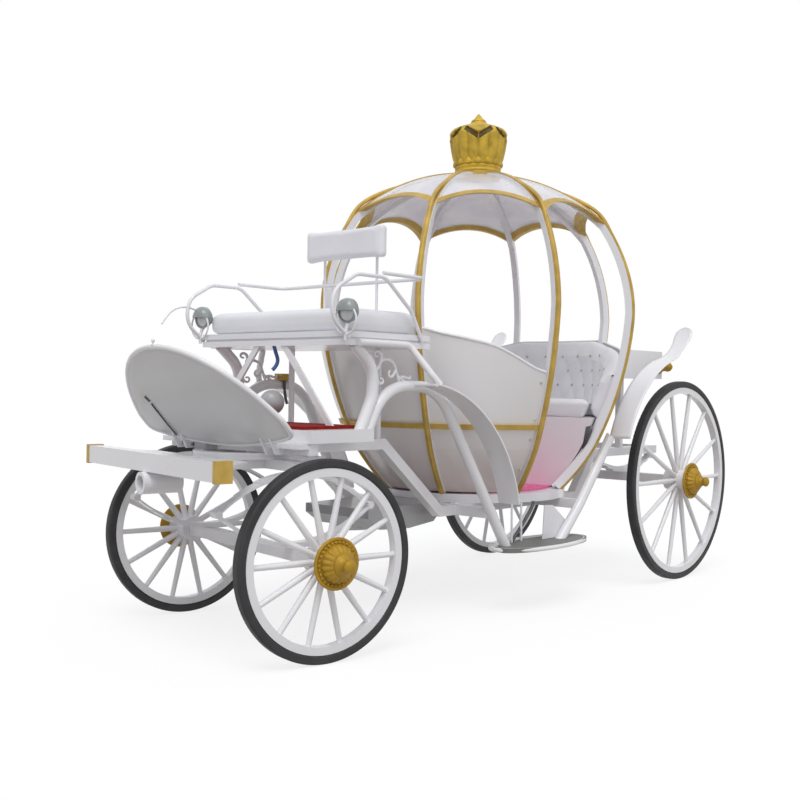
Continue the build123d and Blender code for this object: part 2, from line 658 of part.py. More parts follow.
arm_x = SEAT_HALF_WIDTH + ARM_R + SEAT_GAP
arm = tube([(arm_x, y, z) for y, z in (
    (SEAT_FRONT_Y + 14, SEAT_BASE_Z), (SEAT_FRONT_Y - 96, 1432), (SEAT_FRONT_Y - 80, 1550),
    (SEAT_FRONT_Y + 60, ARM_TOP_Z), (SEAT_FRONT_Y + 242, ARM_TOP_Z),
    (SEAT_FRONT_Y + 425, 1484), (SEAT_REAR_Y - 66, SEAT_BASE_Z))], ARM_R, 100)
parts["seat_arms"] = pair(arm)
post_y = BACKREST_Y + BACKREST_THICK / 2 + POST_R + SEAT_GAP
back_rail_z = ARM_TOP_Z + 2 * ARM_R + SEAT_GAP
post_top = BACKREST_HIGH_Z - 40
post = Pos(BACKREST_POST_X, post_y, (SEAT_TOP + SEAT_GAP + post_top) / 2) * Cylinder(
    POST_R, post_top - SEAT_TOP - SEAT_GAP)
hoop_rail = tube([(-arm_x, SEAT_FRONT_Y + 230, back_rail_z), (-arm_x, post_y, back_rail_z),
                  (arm_x, post_y, back_rail_z), (arm_x, SEAT_FRONT_Y + 230, back_rail_z)],
                 ARM_R, 60)
parts["seat_back_rail"] = hoop_rail + post + mirrored(post)

rear_leg_y = SEAT_REAR_Y - 150
rear_leg = Pos(RAIL_X, rear_leg_y, (PLATFORM_LOW + SEAT_LOW - SEAT_GAP) / 2) * Cylinder(
    SEAT_LEG_R, SEAT_LOW - SEAT_GAP - PLATFORM_LOW)
parts["seat_legs"] = pair(rear_leg)
mat_top = PLATFORM_TOP + SEAT_GAP + MAT_THICK + SEAT_GAP
brace_foot = MAT_HALF_WIDTH - SEAT_BRACE - 5
brace_head = brace_foot - 300
brace = Plane.XZ * make_face(Polyline(
    (brace_foot, mat_top), (brace_foot + SEAT_BRACE, mat_top),
    (brace_head + SEAT_BRACE, SEAT_LOW - SEAT_GAP), (brace_head, SEAT_LOW - SEAT_GAP), close=True))
parts["seat_braces"] = pair(Pos(0, SEAT_FRONT_Y + 18, 0) * extrude(brace, amount=SEAT_BRACE_THICK))

lamp_y = SEAT_FRONT_Y + CUSHION_FRONT_INSET - LAMP_DEPTH / 2 - 5
lamp = Pos(SEAT_HALF_WIDTH, lamp_y, LAMP_Z) * Rot(90, 0, 0) * Cylinder(LAMP_R, LAMP_DEPTH)
stem_x = SEAT_HALF_WIDTH - LAMP_STEM
lamp += Pos(stem_x, SEAT_FRONT_Y - LAMP_STEM / 2 - SEAT_GAP, (SEAT_LOW + LAMP_Z) / 2) * Box(
    LAMP_STEM, LAMP_STEM, LAMP_Z - SEAT_LOW)
parts["lamps"] = pair(lamp)

# Brackets that hold the dash on the frame's first cross member
bracket_x = DASH_HALF_WIDTH - 80
bracket_low = NECK_Z - RAIL_SIZE / 2
bracket_block = Pos(bracket_x, RAIL_FRONT_Y - 30 - SEAT_GAP, bracket_low + 30) * Box(14, 60, 60)
below_dash = Plane(origin=(0, DASH_BASE_Y, DASH_BASE_Z), x_dir=(1, 0, 0),
                   z_dir=Vector(0, 0, 1).rotate(Axis.X, -DASH_PITCH))
over_dash = below_dash * Pos(0, 0, HUGE / 2 - DASH_THICK / 2 - SEAT_GAP) * Box(HUGE, HUGE, HUGE)
parts["dash_brackets"] = pair(bracket_block - over_dash)

# Boot
boot_front = BODY_Y + 800.0
boot = Pos(0, (boot_front + BODY_Y + BOOT_REAR) / 2, BOOT_Z + BOOT_HEIGHT / 2) * Box(
    2 * BOOT_HALF_WIDTH, BODY_Y + BOOT_REAR - boot_front, BOOT_HEIGHT)
boot -= Pos(0, BODY_Y, BOOT_Z - 1) * extrude(
    Ellipse(BODY_HALF_WIDTH + BOOT_GAP, BODY_HALF_LENGTH + BOOT_GAP), amount=BOOT_HEIGHT + 2)
parts["rear_boot"] = boot
post_low = REAR_RAIL_Z + RAIL_SIZE / 2 + SEAT_GAP
boot_post = Pos(RAIL_X, BODY_Y + BOOT_REAR - 190, (post_low + BOOT_Z - SEAT_GAP) / 2) * Box(
    BOOT_POST, BOOT_POST, BOOT_Z - SEAT_GAP - post_low)
parts["boot_posts"] = pair(boot_post)


# Axles and springs
def half_elliptic(half_length, rise, leaves):
    """Leaf spring seen from the side, its main leaf's middle at the origin, ends raised."""
    step = half_length * 0.72 / leaves
    pack = None
    for i in range(leaves):
        reach = half_length - i * step
        lift = rise * (reach / half_length) ** 2
        leaf = blade(((-reach, lift), (0, 0), (reach, lift)), 0, SPRING_WIDTH, LEAF / 2, -LEAF / 2)
        leaf = Pos(0, 0, -i * (LEAF - 0.05)) * leaf
        pack = leaf if pack is None else pack + leaf
    return pack


def eyes(half_length, z):
    eye = Pos(0, half_length, z) * Rot(0, 90, 0) * Cylinder(SPRING_EYE_R, SPRING_WIDTH)
    return eye + Pos(0, -2 * half_length, 0) * eye


def axle(track_x):
    """Square beam with round journals in the naves."""
    beam = Box(2 * (track_x - NAVE_LENGTH / 2 - 4), 2 * AXLE_HALF, 2 * AXLE_HALF)
    journal = Rot(0, 90, 0) * Cylinder(HUB_BORE_R - JOURNAL_GAP, 2 * (track_x + NAVE_LENGTH / 2 - 2))
    return beam + journal


parts["rear_axle"] = Pos(0, REAR_AXLE_Y, REAR_WHEEL_R) * axle(REAR_TRACK_X)
rear_spring = half_elliptic(REAR_SPRING_HALF, REAR_SPRING_RISE, REAR_LEAVES) + eyes(
    REAR_SPRING_HALF, REAR_SPRING_RISE)
parts["rear_springs"] = pair(Pos(RAIL_X, REAR_AXLE_Y, REAR_SPRING_Z) * rear_spring)

# Turntable and fore-carriage
turntable_ring = Cylinder(TURNTABLE_R, TURNTABLE_PLATE) - Cylinder(
    TURNTABLE_R - TURNTABLE_BAND, TURNTABLE_PLATE)
parts["upper_turntable"] = Pos(0, FRONT_AXLE_Y, UPPER_RING_TOP - TURNTABLE_PLATE / 2) * turntable_ring
bed_z = BED_TOP - BED_HEIGHT / 2
bed_front = -BAR_FORWARD + BAR_DEPTH / 2 + SEAT_GAP
bed = Pos(0, FRONT_AXLE_Y, TURNTABLE_SEAM_Z - TURNTABLE_PLATE / 2) * turntable_ring
for x in (-BED_BAR_X, BED_BAR_X):
    bed += Pos(x, FRONT_AXLE_Y + (bed_front + BED_TAIL) / 2, bed_z) * Box(
        BED_BAR_WIDTH, BED_TAIL - bed_front, BED_HEIGHT)
bed += Pos(0, FRONT_AXLE_Y, bed_z) * Box(2 * FRONT_SPRING_X + SPRING_WIDTH, BOLSTER_DEPTH, BED_HEIGHT)
pin_top = NECK_Z + RAIL_SIZE / 2
bed += Pos(0, FRONT_AXLE_Y, (BED_TOP + pin_top) / 2 - 5) * Cylinder(KINGPIN_R, pin_top - BED_TOP + 10)
parts["fore_bed"] = steered(bed)
parts["front_axle"] = steered(Pos(0, FRONT_AXLE_Y, FRONT_WHEEL_R) * axle(FRONT_TRACK_X))
spring_low = FRONT_WHEEL_R + AXLE_HALF + SEAT_GAP + FRONT_LEAVES * LEAF - LEAF / 2
spring_high = BED_TOP - BED_HEIGHT - SEAT_GAP - FRONT_LEAVES * LEAF + LEAF / 2
half_rise = (spring_high - spring_low) / 2
half_spring = half_elliptic(FRONT_SPRING_HALF, half_rise, FRONT_LEAVES)
elliptic = (Pos(0, 0, spring_low) * half_spring + Pos(0, 0, spring_high) * Rot(180, 0, 0) * half_spring
            + eyes(FRONT_SPRING_HALF, spring_low + half_rise))
parts["front_springs"] = steered(pair(Pos(FRONT_SPRING_X, FRONT_AXLE_Y, 0) * elliptic))

bar_y = FRONT_AXLE_Y - BAR_FORWARD
bar = Pos(0, bar_y, BAR_Z) * Box(2 * BAR_HALF_LENGTH, BAR_DEPTH, BAR_HEIGHT)
for x in (-TRACE_BORE_X, TRACE_BORE_X):
    bar -= Pos(x, bar_y, BAR_Z) * Cylinder(TRACE_BORE_R, BAR_HEIGHT + 2)
parts["splinter_bar"] = steered(bar)
deck_front = BAR_FORWARD - BAR_DEPTH / 2 - SEAT_GAP
deck_rear = TURNTABLE_R + 2.0
deck = make_face(Polyline(
    (-BAR_HALF_LENGTH, -deck_front), (BAR_HALF_LENGTH, -deck_front),
    (DECK_REAR_HALF, -deck_rear), (-DECK_REAR_HALF, -deck_rear), close=True))
parts["fore_deck"] = steered(Pos(0, FRONT_AXLE_Y, BED_TOP + SEAT_GAP) * extrude(deck, amount=DECK_THICK))
bar_cap = Pos(BAR_HALF_LENGTH + SEAT_GAP + BAR_CAP / 2, bar_y, BAR_Z) * Box(
    BAR_CAP, BAR_DEPTH + 2 * BAR_CAP_LIP, BAR_HEIGHT + 2 * BAR_CAP_LIP)
parts["bar_caps"] = steered(pair(bar_cap))
socket_y = bar_y - BAR_DEPTH / 2 + POLE_SOCKET_LENGTH / 2 - 20
socket_z = BAR_Z - BAR_HEIGHT / 2 - SEAT_GAP - POLE_SOCKET_R
parts["pole_socket"] = steered(Pos(0, socket_y, socket_z) * Rot(90, 0, 0) * (
    Cylinder(POLE_SOCKET_R, POLE_SOCKET_LENGTH) - Cylinder(POLE_BORE_R, POLE_SOCKET_LENGTH + 2)))


# Wheels, made about the X axis with the outer face of the tyre at x = 0
def tyre(radius):
    section = Pos(-TYRE_WIDTH / 2, radius - TYRE_DEPTH / 2) * RectangleRounded(
        TYRE_WIDTH, TYRE_DEPTH, TYRE_DEPTH * 0.28)
    return revolve(section, Axis.X)


def wheel(radius):
    rim_outer = radius - TYRE_DEPTH - SEAT_GAP
    rim_section = Pos(-TYRE_WIDTH / 2, rim_outer - RIM_DEPTH / 2) * Rectangle(RIM_WIDTH, RIM_DEPTH)
    spoke_foot = NAVE_R * 0.6
    spoke_tip = rim_outer - RIM_DEPTH / 2
    body = revolve(rim_section, Axis.X)
    body += Pos(-TYRE_WIDTH / 2, 0, 0) * Rot(0, 90, 0) * Cylinder(NAVE_R, NAVE_LENGTH)
    spoke = Pos(-TYRE_WIDTH / 2, 0, (spoke_foot + spoke_tip) / 2) * Cone(
        SPOKE_ROOT_R, SPOKE_R, spoke_tip - spoke_foot)
    for i in range(SPOKE_COUNT):
        body += Rot(360.0 * (i + 0.5) / SPOKE_COUNT, 0, 0) * spoke
    return body - Pos(-TYRE_WIDTH / 2, 0, 0) * Rot(0, 90, 0) * Cylinder(HUB_BORE_R, NAVE_LENGTH + 2)


def hub_cap():
    face = -TYRE_WIDTH / 2 + NAVE_LENGTH / 2 + SEAT_GAP
    flange = CAP_FLANGE_R
    steps = ((0, flange), (9, flange), (13, flange - 5), (13, flange - 10), (19, flange - 15),
             (23, flange - 23), (23, flange - 29), (33, flange - 39), (37, flange - 48),
             (37, flange - 54), (51, 47), (65, 39), (70, 33), (70, 28), (88, 25), (98, 20),
             (CAP_LENGTH - 12, 20), (CAP_LENGTH - 6, 15), (CAP_LENGTH, 7), (CAP_LENGTH, 0))
    outline = Polyline((face, 0), *[(face + along, r) for along, r in steps], close=True)
    return revolve(make_face(outline), Axis.X)


for end, radius, axle_y, outer_x in (
        ("front", FRONT_WHEEL_R, FRONT_AXLE_Y, FRONT_OUTER_HALF_TRACK),
        ("rear", REAR_WHEEL_R, REAR_AXLE_Y, REAR_OUTER_HALF_TRACK)):
    for piece_name, piece in (("tyre", tyre(radius)), ("wheel", wheel(radius)), ("hub_cap", hub_cap())):
        left = Pos(outer_x, axle_y, radius) * piece
        for side_name, placed in (("left", left), ("right", mirrored(left))):
            if end == "front":
                placed = steered(placed)
            parts[f"{end}_{side_name}_{piece_name}"] = placed

os.makedirs("parts", exist_ok=True)
for name, shape in parts.items():
    export_step(shape, f"parts/{name}.step")
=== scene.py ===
"""Pumpkin carriage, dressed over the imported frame: upholstery, crown, lamps, scrolls,
trim and materials. Metres, +Z up; the carriage faces -Y and its left side is +X."""
import json
import math

import bmesh
import bpy
from mathutils import Matrix, Vector


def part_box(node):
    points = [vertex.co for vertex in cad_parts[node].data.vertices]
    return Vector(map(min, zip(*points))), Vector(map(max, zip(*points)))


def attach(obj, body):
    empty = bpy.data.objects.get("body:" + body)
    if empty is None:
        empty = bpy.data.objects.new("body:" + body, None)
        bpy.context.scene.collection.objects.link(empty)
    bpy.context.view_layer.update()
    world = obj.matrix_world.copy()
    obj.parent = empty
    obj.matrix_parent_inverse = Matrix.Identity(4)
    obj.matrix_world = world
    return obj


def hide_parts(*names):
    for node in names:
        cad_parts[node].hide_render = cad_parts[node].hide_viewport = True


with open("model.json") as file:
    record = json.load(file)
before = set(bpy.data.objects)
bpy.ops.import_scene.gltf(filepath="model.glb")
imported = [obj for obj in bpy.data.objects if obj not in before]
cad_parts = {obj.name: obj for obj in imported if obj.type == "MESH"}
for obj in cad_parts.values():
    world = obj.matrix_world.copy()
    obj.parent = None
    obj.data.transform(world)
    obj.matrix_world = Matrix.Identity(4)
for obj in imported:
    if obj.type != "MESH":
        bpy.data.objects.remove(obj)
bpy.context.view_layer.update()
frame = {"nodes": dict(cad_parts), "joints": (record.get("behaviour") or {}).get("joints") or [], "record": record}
nodes = frame["nodes"]
ROOT = "carriage"

# Camera, as solved from the photograph
CAMERA_AT = (3.716, -4.583, 1.136)
CAMERA_AIM = (-0.66185, 0.74955, -0.01182)
CAMERA_ROLL = 0.016
CAMERA_LENS = 48.05

# Light and floor
WORLD_STRENGTH = 0.53
KEY_STRENGTH = 1.35
KEY_DIRECTION = (-0.35, 0.45, -1.0)
KEY_ANGLE = 35
FILL_STRENGTH = 0.35
FILL_DIRECTION = (-1.0, 0.2, -0.35)
FILL_ANGLE = 60
FLOOR_HALF = 30
FLOOR_BOUNCE = (0.45, 0.42, 0.39, 1.0)
FLOOR_WHITE = (0.94, 0.94, 0.94, 1.0)
FLOOR_GLOW = 1.06
FLOOR_GLOW_SHARE = 0.75

# Colour sockets of a mix node
MIX_FIRST = 6
MIX_SECOND = 7
MIX_RESULT = 2

# Cabin outline, as in part.py
BODY_Y = 0.26341
BODY_HALF_WIDTH = 0.862
BODY_HALF_LENGTH = 0.964
OUTLINE = (
    (0.100, 2.345), (0.520, 2.240), (0.820, 2.050), (0.955, 1.800), (1.000, 1.560),
    (0.940, 1.220), (0.775, 0.825), (0.680, 0.700), (0.565, 0.585),
)
PANEL_LOW_Z = 1.215
PANEL_HIGH_Z = 1.440
PANEL_INSET = 0.013
WALL = 0.006


# Materials
class Material:
    """A principled material with a few procedural layers."""

    def __init__(self, name, color, roughness=0.4, metallic=0.0, coat=0.0, **sockets):
        self.material = bpy.data.materials.new(name)
        self.material.use_nodes = True
        self.tree = self.material.node_tree
        self.shader = self.tree.nodes["Principled BSDF"]
        self.color = color
        self.set("Base Color", (*color, 1.0))
        self.set("Roughness", roughness)
        self.set("Metallic", metallic)
        self.set("Coat Weight", coat)
        self.set("Coat Roughness", 0.08)
        for socket, value in sockets.items():
            self.set(socket.replace("_", " "), value)
        self.place = self.node("ShaderNodeTexCoord").outputs["Object"]
        self.height = None

    def node(self, kind):
        return self.tree.nodes.new(kind)

    def set(self, socket, value):
        self.shader.inputs[socket].default_value = value

    def link(self, start, end):
        self.tree.links.new(start, end)

    def noise(self, scale, detail=4.0, distortion=0.0):
        noise = self.node("ShaderNodeTexNoise")
        noise.inputs["Scale"].default_value = scale
        noise.inputs["Detail"].default_value = detail
        noise.inputs["Distortion"].default_value = distortion
        self.link(self.place, noise.inputs["Vector"])
        return noise.outputs["Fac"]

    def tint(self, factor, low, high, start=0.3, end=0.7):
        """Base colour that runs from one colour to another with a factor."""
        ramp = self.node("ShaderNodeValToRGB")
        ramp.color_ramp.elements[0].position = start
        ramp.color_ramp.elements[1].position = end
        ramp.color_ramp.elements[0].color = (*low, 1.0)
        ramp.color_ramp.elements[1].color = (*high, 1.0)
        self.link(factor, ramp.inputs["Fac"])
        self.link(ramp.outputs["Color"], self.shader.inputs["Base Color"])

    def mottle(self, scale, share):
        """Base colour that wanders by a share of itself."""
        dark = tuple(c * (1 - share) for c in self.color)
        light = tuple(min(c * (1 + share), 1.0) for c in self.color)
        self.tint(self.noise(scale), dark, light)

    def rough(self, scale, low, high):
        """Roughness that wanders between two values."""
        spread = self.node("ShaderNodeMapRange")
        spread.inputs["To Min"].default_value = low
        spread.inputs["To Max"].default_value = high
        self.link(self.noise(scale), spread.inputs["Value"])
        self.link(spread.outputs["Result"], self.shader.inputs["Roughness"])

    def bump(self, height, strength, distance):
        """Relief from a height, on top of the relief that is there already."""
        bump = self.node("ShaderNodeBump")
        bump.inputs["Strength"].default_value = strength
        bump.inputs["Distance"].default_value = distance
        self.link(height, bump.inputs["Height"])
        if self.height is not None:
            self.link(self.height, bump.inputs["Normal"])
        self.height = bump.outputs["Normal"]
        self.link(self.height, self.shader.inputs["Normal"])

    def grain(self, scale, strength, distance):
        """Fine leather-like cells."""
        cells = self.node("ShaderNodeTexVoronoi")
        cells.inputs["Scale"].default_value = scale
        self.link(self.place, cells.inputs["Vector"])
        self.bump(cells.outputs["Distance"], strength, distance)


def paint(name, color, roughness=0.28):
    made = Material(name, color, roughness, coat=0.35)
    made.mottle(2.2, 0.025)
    made.rough(9.0, roughness * 0.8, roughness * 1.35)
    made.bump(made.noise(160.0, 2.0), 0.05, 0.0008)
    return made.material


def gilded(name, color, roughness=0.42, patina=0.16):
    made = Material(name, color, roughness, metallic=0.15, Specular_IOR_Level=0.3)
    made.mottle(14.0, patina)
    made.rough(30.0, roughness * 0.75, roughness * 1.4)
    made.bump(made.noise(70.0, 5.0), 0.22, 0.0015)
    return made.material


def leather(name, color):
    made = Material(name, color, 0.46, Sheen_Weight=0.1)
    made.mottle(5.0, 0.035)
    made.rough(11.0, 0.38, 0.56)
    made.bump(made.noise(9.0, 3.0), 0.18, 0.004)
    made.grain(420.0, 0.22, 0.0006)
    return made.material


def pile(name, color, scale=260.0):
    made = Material(name, color, 0.95, Sheen_Weight=0.08, Specular_IOR_Level=0.1)
    made.mottle(38.0, 0.22)
    made.bump(made.noise(scale, 6.0), 0.8, 0.004)
    made.bump(made.noise(22.0, 2.0), 0.3, 0.004)
    return made.material


def rubber():
    made = Material("tyre_rubber", (0.022, 0.022, 0.024), 0.62)
    made.mottle(8.0, 0.3)
    made.rough(20.0, 0.5, 0.78)
    made.bump(made.noise(90.0, 4.0), 0.25, 0.001)
    return made.material


def pearl():
    made = Material("pearl_roof", (0.90, 0.88, 0.93), 0.3, coat=0.5, Alpha=0.72)
    made.tint(made.noise(3.2, 3.0, 1.2), (0.80, 0.79, 0.86), (0.97, 0.96, 0.98), 0.35, 0.65)
    made.rough(6.0, 0.2, 0.42)
    made.bump(made.noise(13.0, 3.0), 0.3, 0.004)
    return made.material


def bounce_and_shade_paint(name, low, high):
    """White panels painted pinker and darker below a height: painted bounce light from the pink floor, and painted
    shade.
    """
    bounce_from, bounce_to = 0.55, 1.0
    made = Material(name, high, 0.3, coat=0.3)
    split = made.node("ShaderNodeSeparateXYZ")
    made.link(made.place, split.inputs["Vector"])
    spread = made.node("ShaderNodeMapRange")
    spread.inputs["From Min"].default_value = bounce_from
    spread.inputs["From Max"].default_value = bounce_to
    made.link(split.outputs["Z"], spread.inputs["Value"])
    made.tint(spread.outputs["Result"], low, high, 0.0, 1.0)
    made.rough(7.0, 0.24, 0.4)
    made.bump(made.noise(120.0, 2.0), 0.05, 0.001)
    return made.material


def tread(name, color):
    made = Material(name, color, 0.55, coat=0.1)
    made.mottle(6.0, 0.08)
    made.grain(90.0, 0.5, 0.002)
    return made.material


def glass():
    made = Material("lamp_glass", (0.88, 0.93, 0.90), 0.14, Transmission_Weight=0.1)
    made.bump(made.noise(90.0, 2.0), 0.15, 0.001)
    return made.material


WHITE = paint("white_gloss", (0.86, 0.855, 0.88))
# Painted shade: the white dash board greyed to the shade on its underside
DASH_SHADE = paint("dash_grey", (0.66, 0.66, 0.66), 0.4)
SILVER = paint("silver_grey", (0.40, 0.40, 0.41), 0.45)
GOLD = gilded("gold_paint", (0.56, 0.375, 0.085))
CAST_GOLD = gilded("cast_gold", (0.44, 0.26, 0.022), 0.44)
CROWN_GOLD = gilded("crown_gold", (0.57, 0.385, 0.045), 0.44, 0.30)
LEATHER = leather("white_leather", (0.85, 0.85, 0.885))
CARPET = pile("pink_carpet", (0.78, 0.17, 0.34))
MAT = pile("red_mat", (0.26, 0.010, 0.007), 180.0)
TYRE = rubber()
PEARL = pearl()
# Painted shade and painted pink bounce light on the lower skirt
PANEL = bounce_and_shade_paint("panel_paint", (0.74, 0.63, 0.61), (0.86, 0.845, 0.85))
GLASS = glass()
LAMP_GREY = paint("lamp_grey", (0.30, 0.33, 0.33), 0.3)
BUTTON = gilded("button_pewter", (0.55, 0.53, 0.50), 0.4)
# Dark iron for rods, hoses, spring and dampers; also painted shade in openings
DARK = paint("dark_iron", (0.07, 0.07, 0.075), 0.5)
# Painted shade: dark brown for the insides of the crown's slots
CROWN_SLOT_SHADE = paint("crown_shade", (0.16, 0.105, 0.02), 0.6)
TREAD = tread("step_tread", (0.17, 0.17, 0.16))
# Painted pink bounce light on the lower benches
BENCH = bounce_and_shade_paint("bench_paint", (0.87, 0.72, 0.79), (0.88, 0.86, 0.87))
HOSE = paint("blue_hose", (0.05, 0.12, 0.35), 0.5)

by_slot = {"white_frame": WHITE, "gold": GOLD, "pearl": PEARL, "skirt": PANEL, "tyre": TYRE,
           "white_leather": LEATHER, "carpet": CARPET, "red_mat": MAT, "silver": SILVER,
           "lamp": GOLD}
for entry in frame["record"]["subparts"]:
    shown = nodes[entry["node"]]
    shown.data.materials.clear()
    shown.data.materials.append(by_slot[entry["material_slot"]])
nodes["step_boards"].data.materials[0] = TREAD
for name in ("front_bench", "rear_bench"):
    nodes[name].data.materials[0] = BENCH


# Mesh helpers
def as_object(name, data, material, body):
    """Object that rides a body and stands in a material slot; meshes are shaded smooth."""
    made = bpy.data.objects.new(name, data)
    bpy.context.scene.collection.objects.link(made)
    data.materials.append(material)
    if made.type == "MESH":
        data.shade_smooth()
    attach(made, body)
    return made


def grid_mesh(name, rows, closed_u=False, closed_v=False):
    """Quads over rows of points; a closed direction joins its ends."""
    mesh = bmesh.new()
    table = [[mesh.verts.new(p) for p in row] for row in rows]
    n, m = len(table), len(table[0])
    for i in range(n if closed_u else n - 1):
        for j in range(m if closed_v else m - 1):
            a, b = table[i][j], table[i][(j + 1) % m]
            c, d = table[(i + 1) % n][(j + 1) % m], table[(i + 1) % n][j]
            if len({a, b, c, d}) == 4:
                mesh.faces.new((a, b, c, d))
    bmesh.ops.remove_doubles(mesh, verts=mesh.verts, dist=1e-6)
    bmesh.ops.recalc_face_normals(mesh, faces=mesh.faces)
    data = bpy.data.meshes.new(name)
    mesh.to_mesh(data)
    mesh.free()
    return data


def once_round(steps):
    """Angles of equal steps once round."""
    return [2 * math.pi * i / steps for i in range(steps)]


def shares(steps):
    """Shares of the way from start to end, both included."""
    return [i / steps for i in range(steps + 1)]


def ball_profile(radius, degrees):
    """Half circle for the lathe, with rows at these degrees between its poles."""
    angles = [math.radians(degree) for degree in degrees]
    arc = [(radius * math.cos(angle), radius * math.sin(angle)) for angle in angles]
    return [(0.0, -radius)] + arc + [(0.0, radius)]


def lathe(name, profile, steps, ripple=None):
    """Turned mesh about +Z; ripple(angle, height) scales the radius."""
    rows = []
    for angle in once_round(steps):
        row = []
        for r, z in profile:
            k = ripple(angle, z) if ripple else 1.0
            row.append((r * k * math.cos(angle), r * k * math.sin(angle), z))
        rows.append(row)
    return grid_mesh(name, rows, closed_u=True)


def wire(name, points, radius, material, body, closed=False,
         order=4, taper=None):
    """Round bar along a smooth curve through control points."""
    curve = bpy.data.curves.new(name, "CURVE")
    curve.dimensions = "3D"
    curve.bevel_depth = radius
    curve.bevel_resolution = 4
    curve.use_fill_caps = True
    curve.resolution_u = 8
    spline = curve.splines.new("NURBS")
    spline.points.add(len(points) - 1)
    for i, p in enumerate(points):
        spline.points[i].co = (*p, 1.0)
        if taper:
            spline.points[i].radius = taper[i]
    spline.order_u = min(order, len(points))
    spline.use_endpoint_u = not closed
    spline.use_cyclic_u = closed
    return as_object(name, curve, material, body)


def joined(name, placed, material, body):
    """One object from (mesh, placement) pairs."""
    mesh = bmesh.new()
    for piece, placement in placed:
        start = len(mesh.verts)
        mesh.from_mesh(piece)
        mesh.verts.ensure_lookup_table()
        bmesh.ops.transform(mesh, matrix=placement, verts=mesh.verts[start:])
    data = bpy.data.meshes.new(name)
    mesh.to_mesh(data)
    mesh.free()
    return as_object(name, data, material, body)


def facing(direction):
    """Turn that points +Z along a direction."""
    return direction.to_track_quat("Z", "Y").to_matrix().to_4x4()


def share_at(z):
    """Share of the cabin's half width at a height, on the outline of part.py."""
    for i in range(0, len(OUTLINE) - 2, 2):
        (sa, za), (sb, zb), (sc, zc) = OUTLINE[i:i + 3]
        if zc <= z <= za:
            u = (z - za) / (zc - za)
            middle = (zb - za) / (zc - za)
            bow = sb - sa - (sc - sa) * middle
            return sa + (sc - sa) * u + bow * u * (1 - u) / (middle * (1 - middle))
    return OUTLINE[-1][0]


def cabin_point(parameter, z, inset=0.0):
    """Point of the cabin's oval at a height, inset from the outline."""
    share = share_at(z)
    x = (BODY_HALF_WIDTH * share - inset) * math.cos(parameter)
    y = (BODY_HALF_LENGTH * share - inset) * math.sin(parameter)
    return Vector((x, BODY_Y + y, z))


def panel_top(y):
    """Height of the swept top edge of the side panels at a place along the cabin."""
    low = BODY_HALF_LENGTH * math.sin(math.pi / 8)
    high = BODY_HALF_LENGTH * math.sin(3 * math.pi / 8)
    chain = ((low - 0.040, PANEL_LOW_Z), (low + 0.060, PANEL_LOW_Z + 0.022),
             ((low + high) / 2, (PANEL_LOW_Z + PANEL_HIGH_Z) / 2 + 0.020),
             (high - 0.070, PANEL_HIGH_Z - 0.035), (high, PANEL_HIGH_Z))
    reach = abs(y - BODY_Y)
    if reach <= chain[0][0]:
        return chain[0][1]
    for (a, za), (b, zb) in zip(chain, chain[1:]):
        if reach <= b:
            return za + (zb - za) * (reach - a) / (b - a)
    return PANEL_HIGH_Z


# Camera, light and floor
forward = Vector(CAMERA_AIM).normalized()
side = forward.cross(Vector((0, 0, 1))).normalized()
up = side.cross(forward)
roll_cos = math.cos(CAMERA_ROLL)
roll_sin = math.sin(CAMERA_ROLL)
right = side * roll_cos + up * roll_sin
top = up * roll_cos - side * roll_sin
camera_data = bpy.data.cameras.new("camera")
camera_data.lens = CAMERA_LENS
camera_data.sensor_width = 36.0
camera_data.clip_end = 100.0
camera = bpy.data.objects.new("camera", camera_data)
camera.matrix_world = Matrix((
    (right.x, top.x, -forward.x, CAMERA_AT[0]),
    (right.y, top.y, -forward.y, CAMERA_AT[1]),
    (right.z, top.z, -forward.z, CAMERA_AT[2]),
    (0, 0, 0, 1)))
bpy.context.scene.collection.objects.link(camera)
bpy.context.scene.camera = camera
bpy.context.scene.view_settings.view_transform = "Standard"


def seen_directly(tree):
    """1 for rays that see the surroundings themselves: camera, mirror and clear rays."""
    rays = tree.nodes.new("ShaderNodeLightPath")
    found = rays.outputs["Is Camera Ray"]
    for kind in ("Is Transmission Ray", "Is Glossy Ray"):
        either = tree.nodes.new("ShaderNodeMath")
        either.operation = "MAXIMUM"
        tree.links.new(found, either.inputs[0])
        tree.links.new(rays.outputs[kind], either.inputs[1])
        found = either.outputs["Value"]
    return found


world = bpy.data.worlds.new("studio")
bpy.context.scene.world = world
world.use_nodes = True
tree = world.node_tree
background = tree.nodes["Background"]
background.inputs["Color"].default_value = (0.93, 0.95, 1.0, 1.0)
background.inputs["Strength"].default_value = WORLD_STRENGTH
white = tree.nodes.new("ShaderNodeBackground")
white.inputs["Color"].default_value = (1.0, 1.0, 1.0, 1.0)
white.inputs["Strength"].default_value = 1.0
seen = seen_directly(tree)
mixed = tree.nodes.new("ShaderNodeMixShader")
tree.links.new(seen, mixed.inputs["Fac"])
tree.links.new(background.outputs["Background"], mixed.inputs[1])
tree.links.new(white.outputs["Background"], mixed.inputs[2])
tree.links.new(mixed.outputs["Shader"], tree.nodes["World Output"].inputs["Surface"])


def sun(name, strength, direction, angle):
    """Soft sun that shines along a direction; its angle is in degrees."""
    light = bpy.data.lights.new(name, "SUN")
    light.energy = strength
    light.angle = math.radians(angle)
    lamp = bpy.data.objects.new(name, light)
    lamp.rotation_euler = Vector(direction).to_track_quat("-Z", "Y").to_euler()
    bpy.context.scene.collection.objects.link(lamp)


sun("key", KEY_STRENGTH, KEY_DIRECTION, KEY_ANGLE)
sun("fill", FILL_STRENGTH, FILL_DIRECTION, FILL_ANGLE)

